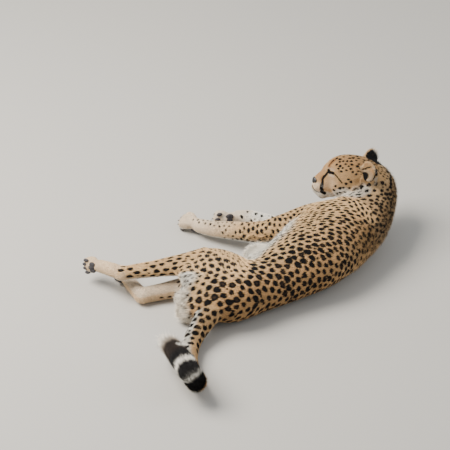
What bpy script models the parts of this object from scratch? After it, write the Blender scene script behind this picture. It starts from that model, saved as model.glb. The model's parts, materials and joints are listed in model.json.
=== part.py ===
"""Resting adult cheetah: a still, life-size display model in metres, +Z up.

The animal lies on its right side with the head raised and turned back over the shoulder.
+X runs along the trunk towards the head, -Y is the side of the spine, +Y the side of the feet.
The origin lies on the flat under the ribs that rests on the floor.

Overlapping muscle masses (lofts and ellipsoids) are fused with a voxel Remesh, relaxed with
Smooth and thinned with Decimate. The floor levels the body's resting flats, and thin cuts then
part it into named pieces, so that every piece keeps the true outline of the coat.
"""

import math

import bmesh
import bpy
from mathutils import Matrix, Vector

# Driving sizes, in metres
CUT = 0.0006  # width of the thin cut between two pieces
LOFT_SIDES = 20  # points round a lofted section
SPAN_STEPS = 6  # rings between two stations of a loft
BODY_VOXEL = 0.0045
BODY_RELAX = 6  # passes of smoothing over the whole body
TRUNK_RELAX = 45  # further passes over the trunk, shoulders and thighs
TRUNK_REACH = 0.20  # how far from the trunk's line the further passes fade out
BODY_TRIANGLES = 5200
TRUNK_FADE = 0.05  # width of the band in which they fade
HEAD_KEEP = 0.11  # how far from the head's origin the further passes stay away
HEAD_FADE = 0.04
EAR_CLEARANCE = 0.0008  # how far an ear stands off the head
FLOOR_DEPTH = 0.2  # the block that levels the resting flats
FLOOR_HALF = 2.0
ROUND_SIDES = 24  # points round a muscle mass
DOME_ANGLES = (30, 60, 80)  # rings of a loft's domed end, in degrees

# Coat colours (linear RGB)
TAN = (0.60, 0.36, 0.15, 1.0)
CREAM = (0.80, 0.70, 0.54, 1.0)
DARK = (0.05, 0.04, 0.035, 1.0)
COAT_ROUGHNESS = 0.85

# Stations of the lofts: x, y, z, half size in the plane of the floor, half size upwards
TRUNK = (
    (-0.525, -0.060, 0.080, 0.045, 0.045),
    (-0.480, -0.068, 0.084, 0.078, 0.072),
    (-0.410, -0.076, 0.087, 0.098, 0.092),
    (-0.310, -0.078, 0.082, 0.094, 0.086),
    (-0.200, -0.070, 0.087, 0.112, 0.092),
    (-0.080, -0.050, 0.098, 0.140, 0.105),
    (0.050, -0.004, 0.101, 0.146, 0.110),
    (0.150, 0.015, 0.104, 0.117, 0.103),
    (0.225, 0.055, 0.118, 0.092, 0.086),
)
NECK = (
    (0.160, 0.000, 0.110, 0.105, 0.092),
    (0.245, 0.052, 0.125, 0.092, 0.082),
    (0.308, 0.100, 0.158, 0.076, 0.070),
    (0.316, 0.146, 0.186, 0.062, 0.060),
    (0.290, 0.168, 0.198, 0.056, 0.056),
)
SHOULDER_LEFT = (
    (0.168, -0.045, 0.158, 0.045, 0.030),
    (0.152, 0.010, 0.168, 0.064, 0.038),
    (0.126, 0.068, 0.150, 0.056, 0.041),
)
FORELEG_LEFT = (
    (0.115, 0.075, 0.138, 0.058, 0.046),
    (0.040, 0.110, 0.134, 0.055, 0.044),
    (-0.040, 0.145, 0.108, 0.050, 0.040),
    (-0.095, 0.190, 0.079, 0.044, 0.038),
    (-0.150, 0.255, 0.064, 0.036, 0.034),
    (-0.203, 0.335, 0.048, 0.030, 0.030),
    (-0.230, 0.390, 0.040, 0.027, 0.027),
)
FORELEG_RIGHT = (
    (0.080, 0.085, 0.065, 0.060, 0.045),
    (0.045, 0.140, 0.048, 0.052, 0.042),
    (0.010, 0.205, 0.040, 0.042, 0.038),
    (-0.018, 0.285, 0.035, 0.034, 0.033),
    (-0.045, 0.345, 0.031, 0.029, 0.030),
    (-0.080, 0.378, 0.030, 0.026, 0.027),
)
THIGH_LEFT = (
    (-0.385, -0.060, 0.120, 0.100, 0.062),
    (-0.385, 0.000, 0.128, 0.095, 0.056),
    (-0.390, 0.060, 0.125, 0.078, 0.050),
    (-0.400, 0.110, 0.115, 0.052, 0.042),
)
HAMSTRING_LEFT = (
    (-0.480, -0.040, 0.110, 0.055, 0.050),
    (-0.475, 0.030, 0.118, 0.050, 0.040),
    (-0.475, 0.090, 0.112, 0.036, 0.034),
)
SHANK_LEFT = (
    (-0.395, 0.100, 0.117, 0.055, 0.042),
    (-0.450, 0.123, 0.112, 0.046, 0.038),
    (-0.540, 0.168, 0.102, 0.034, 0.030),
    (-0.610, 0.204, 0.094, 0.028, 0.026),
    (-0.642, 0.220, 0.090, 0.026, 0.025),
)
FOOT_LEFT = (
    (-0.640, 0.218, 0.088, 0.029, 0.026),
    (-0.657, 0.270, 0.083, 0.026, 0.026),
    (-0.672, 0.318, 0.075, 0.023, 0.025),
)
THIGH_RIGHT = (
    (-0.400, -0.050, 0.060, 0.090, 0.060),
    (-0.390, 0.000, 0.050, 0.080, 0.053),
    (-0.380, 0.060, 0.041, 0.060, 0.045),
    (-0.380, 0.095, 0.036, 0.045, 0.040),
)
HAMSTRING_RIGHT = (
    (-0.490, -0.040, 0.060, 0.055, 0.058),
    (-0.485, 0.020, 0.050, 0.050, 0.048),
    (-0.480, 0.070, 0.042, 0.036, 0.040),
)
SHANK_RIGHT = (
    (-0.380, 0.090, 0.036, 0.050, 0.038),
    (-0.450, 0.108, 0.032, 0.042, 0.035),
    (-0.540, 0.133, 0.028, 0.034, 0.031),
    (-0.590, 0.145, 0.028, 0.030, 0.030),
    (-0.614, 0.152, 0.026, 0.025, 0.028),
)
FOOT_RIGHT = (
    (-0.610, 0.145, 0.027, 0.029, 0.029),
    (-0.604, 0.205, 0.024, 0.026, 0.026),
    (-0.600, 0.250, 0.024, 0.024, 0.026),
)
BELLY = (
    (-0.060, 0.040, 0.060, 0.080, 0.062),
    (-0.150, 0.043, 0.058, 0.077, 0.060),
    (-0.210, 0.024, 0.058, 0.072, 0.058),
    (-0.270, -0.004, 0.058, 0.062, 0.056),
    (-0.340, -0.010, 0.062, 0.056, 0.056),
)
TAIL = (
    (-0.452, -0.096, 0.090, 0.055, 0.050),
    (-0.502, -0.108, 0.076, 0.044, 0.044),
    (-0.557, -0.132, 0.053, 0.037, 0.038),
    (-0.618, -0.171, 0.034, 0.034, 0.035),
    (-0.663, -0.224, 0.030, 0.032, 0.032),
    (-0.690, -0.278, 0.029, 0.031, 0.031),
    (-0.714, -0.340, 0.035, 0.032, 0.033),
    (-0.743, -0.396, 0.072, 0.033, 0.034),
    (-0.761, -0.402, 0.106, 0.035, 0.034),
    (-0.759, -0.366, 0.115, 0.037, 0.036),
    (-0.748, -0.305, 0.113, 0.039, 0.037),
    (-0.732, -0.238, 0.101, 0.036, 0.034),
    (-0.724, -0.190, 0.088, 0.024, 0.024),
)
# Rounded masses: centre and half sizes
SCROTUM = ((-0.552, -0.008, 0.085), (0.030, 0.030, 0.034))
REAR_FLUFF = ((-0.540, -0.022, 0.038), (0.045, 0.042, 0.044))
BELLY_FLUFF = ((-0.180, 0.106, 0.056), (0.050, 0.046, 0.042))

# Paws: wrist, toe tips, the way the sole faces, then length, width and thickness
PAWS = (
    ((-0.210, 0.350, 0.047), (-0.256, 0.480, 0.030), (0.3, 0.1, -1.0), 0.140, 0.062, 0.046),
    ((-0.062, 0.370, 0.032), (-0.175, 0.402, 0.033), (-0.45, -0.85, 0.25), 0.114, 0.062, 0.046),
    ((-0.662, 0.292, 0.080), (-0.692, 0.376, 0.058), (-1.0, -0.35, 0.15), 0.096, 0.052, 0.046),
    ((-0.602, 0.235, 0.024), (-0.594, 0.330, 0.026), (-1.0, -0.1, 0.1), 0.100, 0.050, 0.044),
)

# A paw's palm and pad masses, as shares of length, width and thickness: centre, then half sizes
PALM = ((0.42, 0, 0), (0.46, 0.36, 0.52))
PAD = ((0.62, 0, -0.22), (0.24, 0.34, 0.42))
# Toes: place across the paw in steps, and how far along the paw each reaches
TOES = ((-1.5, 0.92), (-0.5, 0.99), (0.5, 0.99), (1.5, 0.92))
TOE_STEP = 0.265  # share of the paw's width
TOE_SPREAD = 0.03  # how much wider the tips stand, per step
KNUCKLE_AT = 0.78  # share of the toe's reach
KNUCKLE = (0.024, 0.155, 0.46)  # half length, then shares of the width and thickness
TOE_TIP = (0.017, 0.145, 0.38)
TIP_BACK = 0.015  # from the toe's end to the centre of its tip
TOE_RISE = (0.10, -0.12)  # height of knuckle and tip, as shares of the thickness

# Blades: centre, normal, half size across and half size upwards
BLADES = (
    ((0.222, 0.050, 0.120), (0.80, 0.50, 0.33), 0.160, 0.160),
    ((-0.125, -0.050, 0.100), (1.0, 0.0, 0.0), 0.202, 0.130),
    ((-0.288, 0.000, 0.100), (1.0, 0.0, 0.0), 0.260, 0.130),
    ((-0.098, 0.193, 0.078), (-0.64, 0.77, 0.0), 0.054, 0.054),
    ((0.014, 0.197, 0.041), (-0.32, 0.95, 0.0), 0.056, 0.047),
    ((-0.427, 0.028, 0.100), (0.0, 1.0, 0.0), 0.139, 0.120),
    ((-0.427, 0.064, 0.0745), (0.0, 0.0, 1.0), 0.036, 0.139),
    ((-0.418, 0.135, 0.0745), (0.0, 0.0, 1.0), 0.036, 0.130),
    ((-0.520, 0.160, 0.100), (-0.90, 0.42, 0.0), 0.044, 0.038),
    ((-0.515, 0.127, 0.032), (-0.97, 0.20, 0.0), 0.042, 0.040),
    ((-0.648, 0.243, 0.087), (-0.25, 0.97, 0.0), 0.045, 0.040),
    ((-0.608, 0.180, 0.027), (0.05, 1.0, 0.0), 0.042, 0.036),
    ((-0.212, 0.350, 0.047), (-0.36, 0.93, -0.10), 0.050, 0.050),
    ((-0.066, 0.370, 0.032), (-0.90, 0.35, 0.0), 0.050, 0.045),
    ((-0.566, -0.138, 0.051), (-0.84, -0.50, -0.20), 0.050, 0.050),
    ((-0.660, -0.220, 0.032), (-0.60, -0.80, 0.0), 0.050, 0.045),
    ((-0.706, -0.322, 0.033), (-0.30, -0.95, 0.10), 0.050, 0.042),
    ((-0.752, -0.322, 0.117), (0.10, 1.0, 0.0), 0.050, 0.045),
)
# The head is parted from the neck and shoulder by a thin egg-shaped shell, in the head frame
HEAD_SHELL_CENTRE = (0.045, 0.0, 0.005)
HEAD_SHELL = (0.140, 0.088, 0.100)
HEAD_SHELL_PITCH = math.radians(12)
SHELL_SIDES = 20

# Pieces, each named by a point inside it
PIECES = (
    ("head", (0.225, 0.165, 0.195)),
    ("neck", (0.286, 0.087, 0.148)),
    ("chest", (0.050, 0.020, 0.100)),
    ("abdomen", (-0.200, -0.060, 0.090)),
    ("rump", (-0.420, -0.060, 0.090)),
    ("foreleg_left", (-0.155, 0.270, 0.065)),
    ("forepaw_left", (-0.235, 0.415, 0.040)),
    ("foreleg_right", (-0.020, 0.290, 0.035)),
    ("forepaw_right", (-0.120, 0.385, 0.034)),
    ("thigh_left", (-0.420, 0.090, 0.120)),
    ("shank_left", (-0.590, 0.195, 0.092)),
    ("hindpaw_left", (-0.670, 0.320, 0.075)),
    ("thigh_right", (-0.420, 0.080, 0.040)),
    ("shank_right", (-0.570, 0.140, 0.031)),
    ("hindpaw_right", (-0.602, 0.260, 0.026)),
    ("tail_root", (-0.615, -0.175, 0.038)),
    ("tail_middle", (-0.686, -0.270, 0.030)),
    ("tail_bend", (-0.735, -0.375, 0.070)),
    ("tail_tip", (-0.744, -0.275, 0.108)),
)

# Ears, in the head frame: root, tip and the way the cup opens, for the left side
EAR_ROOT = (-0.046, 0.046, 0.032)
EAR_TIP = (-0.078, 0.095, 0.079)
EAR_OPENS = (0.74, 0.62, 0.10)
EAR_HALF_WIDTH = 0.038
EAR_HALF_DEPTH = 0.024
EAR_WALL = 0.0045
EAR_SIDES = 14

# Skull and muzzle in the head frame: x, y, z, half width, half height
HEAD_STATIONS = (
    (-0.100, 0, 0.002, 0.036, 0.044),
    (-0.080, 0, 0.002, 0.053, 0.064),
    (-0.050, 0, 0.002, 0.062, 0.075),
    (-0.010, 0, 0.004, 0.065, 0.079),
    (0.025, 0, 0.002, 0.058, 0.076),
    (0.048, 0, -0.010, 0.046, 0.065),
    (0.068, 0, -0.026, 0.035, 0.054),
    (0.092, 0, -0.039, 0.028, 0.044),
    (0.107, 0, -0.046, 0.023, 0.035),
    (0.114, 0, -0.045, 0.015, 0.022),
)

# Rounded masses of the head, in its frame: centre and half sizes; the sided ones are mirrored
NOSE = ((0.115, 0, -0.020), (0.012, 0.013, 0.011))
CHIN = ((0.093, 0, -0.074), (0.019, 0.016, 0.013))
SIDED_MASSES = (
    ((0.046, 0.025, 0.037), (0.023, 0.018, 0.016)),  # brow
    ((0.094, 0.016, -0.044), (0.025, 0.018, 0.019)),  # whisker pad
    ((0.020, 0.040, -0.022), (0.044, 0.029, 0.036)),  # cheek
)

# Head frame: origin between the ears and eyes, +X to the nose, +Y to the animal's left, +Z to the crown
HEAD_AT = Vector((0.2375, 0.158, 0.200))
HEAD_TURN = math.radians(141.8)
HEAD_PITCH = math.radians(6.3)
HEAD_ROLL = math.radians(13.1)


def clear_scene():
    for obj in list(bpy.data.objects):
        bpy.data.objects.remove(obj, do_unlink=True)


def new_collection(name):
    made = bpy.data.collections.new(name)
    bpy.context.scene.collection.children.link(made)
    return made


def material(name, colour, roughness):
    made = bpy.data.materials.new(name)
    made.use_nodes = True
    shader = made.node_tree.nodes["Principled BSDF"]
    shader.inputs["Base Color"].default_value = colour
    shader.inputs["Roughness"].default_value = roughness
    made.diffuse_color = colour
    return made


def catmull_rom(before, start, end, after, t):
    """One point of the smooth curve through a loft's stations, station values included."""
    return [
        0.5 * (2 * b + (c - a) * t + (2 * a - 5 * b + 4 * c - d) * t**2 + (3 * b - a - 3 * c + d) * t**3)
        for a, b, c, d in zip(before, start, end, after)
    ]


def rounded_path(stations):
    """The stations with smooth steps between them."""
    last = len(stations) - 1
    path = []
    for i in range(last):
        around = [stations[max(0, min(last, i + k))] for k in (-1, 0, 1, 2)]
        path += [catmull_rom(*around, step / SPAN_STEPS) for step in range(SPAN_STEPS)]
    path.append(list(stations[last]))
    return path


def add_loft(mesh, stations, up=Vector((0, 0, 1)), place=Matrix.Identity(4)):
    """A closed tube of elliptic rings with a domed end on each side, added to a bmesh."""
    path = rounded_path(stations)
    centres = [Vector(p[:3]) for p in path]
    rings = []
    for i, (x, y, z, flat, tall) in enumerate(path):
        ahead = centres[min(i + 1, len(path) - 1)] - centres[max(i - 1, 0)]
        side = ahead.cross(up).normalized()
        high = side.cross(ahead).normalized()
        rings.append((centres[i], side * flat, high * tall, ahead.normalized()))
    domed = []
    for end, sign in ((0, -1), (-1, 1)):
        centre, side, high, ahead = rings[end]
        depth = min(side.length, high.length)
        caps = []
        for angle in DOME_ANGLES:
            share, reach = math.cos(math.radians(angle)), math.sin(math.radians(angle))
            caps.append((centre + ahead * sign * depth * reach, side * share, high * share, ahead))
        domed.append(caps)
    rings = domed[0][::-1] + rings + domed[1]
    loops = []
    for centre, side, high, _ in rings:
        loop = []
        for k in range(LOFT_SIDES):
            angle = 2 * math.pi * k / LOFT_SIDES
            loop.append(mesh.verts.new(place @ (centre + side * math.cos(angle) + high * math.sin(angle))))
        loops.append(loop)
    for first, second in zip(loops, loops[1:]):
        for k in range(LOFT_SIDES):
            after = (k + 1) % LOFT_SIDES
            mesh.faces.new((first[k], first[after], second[after], second[k]))
    mesh.faces.new(loops[0][::-1])
    mesh.faces.new(loops[-1])


def add_ellipsoid(mesh, centre, radii, place=Matrix.Identity(4), tilt=Matrix.Identity(4), sides=ROUND_SIDES):
    shape = place @ Matrix.Translation(centre) @ tilt @ Matrix.Diagonal((*radii, 1.0))
    bmesh.ops.create_uvsphere(mesh, u_segments=sides, v_segments=sides // 2, radius=1.0, matrix=shape)


def object_of(mesh, name, collection):
    bmesh.ops.recalc_face_normals(mesh, faces=mesh.faces)
    data = bpy.data.meshes.new(name)
    mesh.to_mesh(data)
    mesh.free()
    made = bpy.data.objects.new(name, data)
    collection.objects.link(made)
    return made


def baked(obj):
    """The object with its modifiers turned into plain mesh."""
    graph = bpy.context.evaluated_depsgraph_get()
    data = bpy.data.meshes.new_from_object(obj.evaluated_get(graph))
    obj.modifiers.clear()
    obj.data = data
    return obj


def fuse(obj):
    """Overlapping closed shapes made one skin and relaxed, most of all round the trunk."""
    remesh = obj.modifiers.new("fuse", "REMESH")
    remesh.mode = "VOXEL"
    remesh.voxel_size = BODY_VOXEL
    relax = obj.modifiers.new("relax", "SMOOTH")
    relax.factor = 0.5
    relax.iterations = BODY_RELAX
    baked(obj)
    broad = obj.vertex_groups.new(name="trunk")
    line = [Vector(station[:3]) for station in TRUNK]
    for vertex in obj.data.vertices:
        away = min((vertex.co - point).length for point in line)
        from_head = (vertex.co - HEAD_AT).length
        weight = min((TRUNK_REACH - away) / TRUNK_FADE, (from_head - HEAD_KEEP) / HEAD_FADE, 1.0)
        if weight > 0:
            broad.add([vertex.index], weight, "REPLACE")
    relax = obj.modifiers.new("relax trunk", "SMOOTH")
    relax.factor = 0.5
    relax.iterations = TRUNK_RELAX
    relax.vertex_group = broad.name
    baked(obj)
    obj.vertex_groups.clear()
    thin = obj.modifiers.new("thin", "DECIMATE")
    thin.ratio = BODY_TRIANGLES / (2 * len(obj.data.polygons))
    return baked(obj)


def boolean(obj, other, operation="DIFFERENCE"):
    """Applies an exact Boolean with another object, which is then removed."""
    step = obj.modifiers.new("cut", "BOOLEAN")
    step.operation = operation
    step.solver = "EXACT"
    step.object = other
    baked(obj)
    bpy.data.objects.remove(other, do_unlink=True)
    return obj


def head_frame():
    turn = Matrix.Rotation(HEAD_TURN, 4, "Z") @ Matrix.Rotation(-HEAD_PITCH, 4, "Y")
    return Matrix.Translation(HEAD_AT) @ turn @ Matrix.Rotation(HEAD_ROLL, 4, "X")


def paw_frame(wrist, toes, sole):
    """+X runs to the toes, +Z to the back of the paw, away from the sole."""
    ahead = (Vector(toes) - Vector(wrist)).normalized()
    back = -Vector(sole)
    back = (back - ahead * back.dot(ahead)).normalized()
    side = back.cross(ahead)
    frame = Matrix((ahead, side, back)).transposed().to_4x4()
    return Matrix.Translation(wrist) @ frame


def add_paw(mesh, place, length, width, thick):
    """A pad-footed paw with four toes, from the wrist at the origin to the toe tips at +X."""
    size = Vector((length, width, thick))
    for centre, half in (PALM, PAD):
        add_ellipsoid(mesh, size * Vector(centre), size * Vector(half), place)
    for step, share in TOES:
        side = step * width * TOE_STEP
        reach = length * share
        knuckle = (reach * KNUCKLE_AT, side, thick * TOE_RISE[0])
        tip = (reach - TIP_BACK, side * (1 + TOE_SPREAD * abs(step)), thick * TOE_RISE[1])
        for centre, (long, wide, tall) in ((knuckle, KNUCKLE), (tip, TOE_TIP)):
            add_ellipsoid(mesh, centre, (long, width * wide, thick * tall), place)


def add_head_masses(mesh, place):
    """Skull and muzzle as one loft, with nose, brows, whisker pads and cheeks, in the head frame."""
    add_loft(mesh, HEAD_STATIONS, place=place)
    for centre, radii in (NOSE, CHIN):
        add_ellipsoid(mesh, centre, radii, place)
    for (x, y, z), radii in SIDED_MASSES:
        for side in (-1, 1):
            add_ellipsoid(mesh, (x, side * y, z), radii, place)


def build_body(collection):
    mesh = bmesh.new()
    for stations in (
        TRUNK, NECK, SHOULDER_LEFT, FORELEG_LEFT, FORELEG_RIGHT, THIGH_LEFT, HAMSTRING_LEFT,
        SHANK_LEFT, FOOT_LEFT, THIGH_RIGHT, HAMSTRING_RIGHT, SHANK_RIGHT, FOOT_RIGHT,
        BELLY, TAIL,
    ):
        add_loft(mesh, stations)
    for mass in (SCROTUM, REAR_FLUFF, BELLY_FLUFF):
        add_ellipsoid(mesh, *mass)
    for wrist, toes, sole, *sizes in PAWS:
        add_paw(mesh, paw_frame(wrist, toes, sole), *sizes)
    add_head_masses(mesh, head_frame())
    return fuse(object_of(mesh, "body", collection))


def block(name, low, high, place=Matrix.Identity(4)):
    """A box between two corners, as a temporary object."""
    mesh = bmesh.new()
    centre = (Vector(low) + Vector(high)) / 2
    size = Vector(high) - Vector(low)
    shape = place @ Matrix.Translation(centre) @ Matrix.Diagonal((*size, 1.0))
    bmesh.ops.create_cube(mesh, size=1.0, matrix=shape)
    return object_of(mesh, name, bpy.context.scene.collection)


def blade(centre, normal, across, upwards):
    """A thin plate that parts whatever it passes through."""
    normal = Vector(normal).normalized()
    up = Vector((0, 0, 1)) if abs(normal.z) < 0.9 else Vector((1, 0, 0))
    side = up.cross(normal).normalized()
    up = normal.cross(side)
    place = Matrix.Translation(centre) @ Matrix((normal, side, up)).transposed().to_4x4()
    half = Vector((CUT / 2, across, upwards))
    return block("blade", -half, half, place)


def head_shell():
    """A thin egg-shaped wall round the head."""
    shapes = []
    for name, inset in (("wall", 0.0), ("core", CUT)):
        mesh = bmesh.new()
        tilt = Matrix.Rotation(HEAD_SHELL_PITCH, 4, "Y")
        half = [size - inset for size in HEAD_SHELL]
        add_ellipsoid(mesh, HEAD_SHELL_CENTRE, half, head_frame(), tilt, SHELL_SIDES)
        shapes.append(object_of(mesh, name, bpy.context.scene.collection))
    return boolean(*shapes)


def islands(obj, collection):
    """Each loose piece of an object as an object of its own."""
    mesh = bmesh.new()
    mesh.from_mesh(obj.data)
    left = set(mesh.verts)
    groups = []
    while left:
        group = set()
        front = [left.pop()]
        while front:
            vertex = front.pop()
            group.add(vertex)
            near = [edge.other_vert(vertex) for edge in vertex.link_edges]
            front += [v for v in near if v in left]
            left.difference_update(near)
        groups.append(group)
    made = []
    for group in groups:
        piece = mesh.copy()
        piece.verts.ensure_lookup_table()
        keep = {vertex.index for vertex in group}
        bmesh.ops.delete(piece, geom=[v for v in piece.verts if v.index not in keep], context="VERTS")
        made.append(object_of(piece, "piece", collection))
    mesh.free()
    bpy.data.objects.remove(obj, do_unlink=True)
    return made


def add_ear_form(mesh, place, length, shrink, ahead):
    """An upright egg shape, the outside or the inside of an ear."""
    half = (EAR_HALF_DEPTH - shrink, EAR_HALF_WIDTH - shrink, length / 2 - shrink)
    shape = place @ Matrix.Translation((ahead, 0, length / 2)) @ Matrix.Diagonal((*half, 1.0))
    bmesh.ops.create_uvsphere(mesh, u_segments=EAR_SIDES, v_segments=EAR_SIDES // 2, radius=1.0, matrix=shape)


def swollen(obj, amount):
    """A copy of a closed shape, grown along its normals."""
    grown = obj.copy()
    grown.data = obj.data.copy()
    bpy.context.scene.collection.objects.link(grown)
    swell = grown.modifiers.new("swell", "DISPLACE")
    swell.strength = amount
    swell.mid_level = 0
    return baked(grown)


def build_ear(collection, side, around):
    """A rounded cup, opened towards the front and trimmed by the shape that it stands on."""
    root, tip, opens = (Vector((v[0], v[1] * side, v[2])) for v in (EAR_ROOT, EAR_TIP, EAR_OPENS))
    upward = (tip - root).normalized()
    ahead = (opens - upward * opens.dot(upward)).normalized()
    across = upward.cross(ahead)
    frame = Matrix((ahead, across, upward)).transposed().to_4x4()
    place = head_frame() @ Matrix.Translation(root) @ frame
    length = (tip - root).length
    shapes = []
    for name, shrink, shift in (("shell", 0.0, 0.0), ("hollow", EAR_WALL, EAR_HALF_DEPTH * 0.55)):
        mesh = bmesh.new()
        add_ear_form(mesh, place, length, shrink, shift)
        shapes.append(object_of(mesh, name, collection))
    ear = boolean(*shapes)
    return boolean(ear, around)


def finish(piece, name, look):
    piece.name = name
    piece.data.name = name
    piece.data.materials.append(look)


def main():
    clear_scene()
    parts = new_collection("cheetah")
    looks = {
        "tan": material("tan coat", TAN, COAT_ROUGHNESS),
        "cream": material("cream coat", CREAM, COAT_ROUGHNESS),
        "dark": material("dark coat", DARK, COAT_ROUGHNESS),
    }
    body = build_body(parts)
    ears = [
        (name, build_ear(parts, side, swollen(body, EAR_CLEARANCE)))
        for name, side in (("ear_left", 1), ("ear_right", -1))
    ]
    boolean(body, block("floor", (-FLOOR_HALF, -FLOOR_HALF, -FLOOR_DEPTH), (FLOOR_HALF, FLOOR_HALF, 0)))
    boolean(body, head_shell())
    for cut in BLADES:
        boolean(body, blade(*cut))
    for piece in islands(body, parts):
        centre = sum((v.co for v in piece.data.vertices), Vector()) / len(piece.data.vertices)
        name = min(PIECES, key=lambda entry: (Vector(entry[1]) - centre).length)[0]
        look = "cream" if "paw" in name else "dark" if name == "tail_bend" else "tan"
        finish(piece, name, looks[look])
    for name, ear in ears:
        finish(ear, name, looks["tan"])


main()
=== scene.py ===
# %% [markdown]
# # A resting cheetah, life size
# The model lies on its right side with its head raised and turned back over the shoulder.
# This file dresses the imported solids: it grows one skin over the whole animal, gives it the
# spotted markings of the species, and covers it with small tufts of hair. The first cell loads
# the solids, which stay the measure of every size below.

# %% Load the frame
import json
import math

import bmesh
import bpy
import numpy as np
from mathutils import Matrix, Vector
from mathutils.kdtree import KDTree

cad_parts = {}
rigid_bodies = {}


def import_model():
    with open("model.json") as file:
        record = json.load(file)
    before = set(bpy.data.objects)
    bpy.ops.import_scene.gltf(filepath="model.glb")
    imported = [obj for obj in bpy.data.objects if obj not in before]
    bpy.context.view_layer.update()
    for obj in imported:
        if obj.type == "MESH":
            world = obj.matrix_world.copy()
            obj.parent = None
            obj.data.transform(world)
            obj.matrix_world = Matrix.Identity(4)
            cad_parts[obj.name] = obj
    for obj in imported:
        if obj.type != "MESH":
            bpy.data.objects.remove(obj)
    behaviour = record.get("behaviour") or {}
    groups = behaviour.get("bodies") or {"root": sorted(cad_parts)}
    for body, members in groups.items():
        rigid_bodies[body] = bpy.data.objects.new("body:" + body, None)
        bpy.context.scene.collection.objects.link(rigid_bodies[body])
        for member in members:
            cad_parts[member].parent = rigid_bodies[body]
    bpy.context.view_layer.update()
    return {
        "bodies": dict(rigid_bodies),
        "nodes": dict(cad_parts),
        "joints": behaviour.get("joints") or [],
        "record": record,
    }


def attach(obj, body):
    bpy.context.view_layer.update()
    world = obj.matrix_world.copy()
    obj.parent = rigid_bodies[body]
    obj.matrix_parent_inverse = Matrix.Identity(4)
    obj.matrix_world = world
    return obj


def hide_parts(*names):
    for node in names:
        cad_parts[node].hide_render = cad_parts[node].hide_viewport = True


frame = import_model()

nodes = frame["nodes"]

# %% [markdown]
# ## Camera, floor and light
# A long lens that looks well down on the animal keeps its proportions true. The floor is plain
# and pale, so that nothing but the coat gives colour. The light is one large soft panel high on
# one side, with a second weak one opposite and an even sky that keep the shadows open.

# %% Camera
VIEW_TURN = math.radians(33)
VIEW_FALL = math.radians(33)
CAMERA_AT = Vector((-3.77351, -5.22846, 4.35711))
LENS = 182.4
SENSOR = 36.0


def linked(name, data):
    """A new object in the scene."""
    made = bpy.data.objects.new(name, data)
    bpy.context.scene.collection.objects.link(made)
    return made


def view_matrix():
    """Right, up and back axes of a view turned and tilted by the two angles above."""
    right = Vector((math.cos(VIEW_TURN), -math.sin(VIEW_TURN), 0))
    ahead = Vector((math.sin(VIEW_TURN), math.cos(VIEW_TURN), 0))
    forward = ahead * math.cos(VIEW_FALL) - Vector((0, 0, math.sin(VIEW_FALL)))
    up = right.cross(forward)
    return Matrix((right, up, -forward)).transposed().to_4x4()


camera_data = bpy.data.cameras.new("camera")
camera_data.lens = LENS
camera_data.sensor_width = SENSOR
camera_data.clip_end = 50
camera = linked("camera", camera_data)
camera.matrix_world = Matrix.Translation(CAMERA_AT) @ view_matrix()
bpy.context.scene.camera = camera
print("camera:", tuple(round(c, 2) for c in CAMERA_AT))

# %% Floor and light
FLOOR_COLOUR = (0.49, 0.463, 0.418, 1.0)
FLOOR_HALF = 12.0
SKY_COLOUR = (0.90, 0.95, 1.0, 1.0)
SKY_STRENGTH = 0.66
PANELS = (
    # place, size, power in watts, colour
    ((-2.2, 1.6, 3.4), 2.6, 395, (1.0, 0.97, 0.92)),
    ((2.6, -2.8, 2.6), 3.0, 50, (0.93, 0.96, 1.0)),
)
LIGHT_AIM = Vector((-0.15, 0.0, 0.1))


def plain_material(name, colour, roughness):
    made = bpy.data.materials.new(name)
    made.use_nodes = True
    shader = made.node_tree.nodes["Principled BSDF"]
    shader.inputs["Base Color"].default_value = colour
    shader.inputs["Roughness"].default_value = roughness
    return made


def data_of(mesh, name):
    """Turns a bmesh into mesh data and frees it."""
    data = bpy.data.meshes.new(name)
    mesh.to_mesh(data)
    mesh.free()
    return data


floor_mesh = bmesh.new()
bmesh.ops.create_grid(floor_mesh, x_segments=1, y_segments=1, size=FLOOR_HALF)
floor = linked("floor", data_of(floor_mesh, "floor"))
floor.data.materials.append(plain_material("pale floor", FLOOR_COLOUR, 0.9))

world = bpy.data.worlds.new("sky")
world.use_nodes = True
background = world.node_tree.nodes["Background"]
background.inputs["Color"].default_value = SKY_COLOUR
background.inputs["Strength"].default_value = SKY_STRENGTH
bpy.context.scene.world = world
for i, (place, size, power, colour) in enumerate(PANELS):
    light = bpy.data.lights.new(f"panel_{i}", "AREA")
    light.size = size
    light.energy = power
    light.color = colour
    panel = linked(f"panel_{i}", light)
    panel.location = place
    panel.rotation_euler = (LIGHT_AIM - Vector(place)).to_track_quat("-Z", "Y").to_euler()
print("light panels:", len(PANELS))

# %% [markdown]
# ## The forms of the body
# A carver would start from a few big masses: trunk, neck, thighs, limbs and tail. Each is a row
# of elliptic sections here, the same ones that the solids were built from, so the finished
# animal keeps their outline. Smooth curves run through the rows, and closed tubes are lofted
# over them. The tubes overlap freely, because a voxel remesh makes one skin of them afterwards.

# %% Stations of the trunk, neck and forelegs
def metres(rows, unit=1000):
    """Nested rows of whole millimetres, or of another part of a metre, in metres."""
    return tuple(metres(row, unit) for row in rows) if isinstance(rows, tuple) else rows / unit


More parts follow.
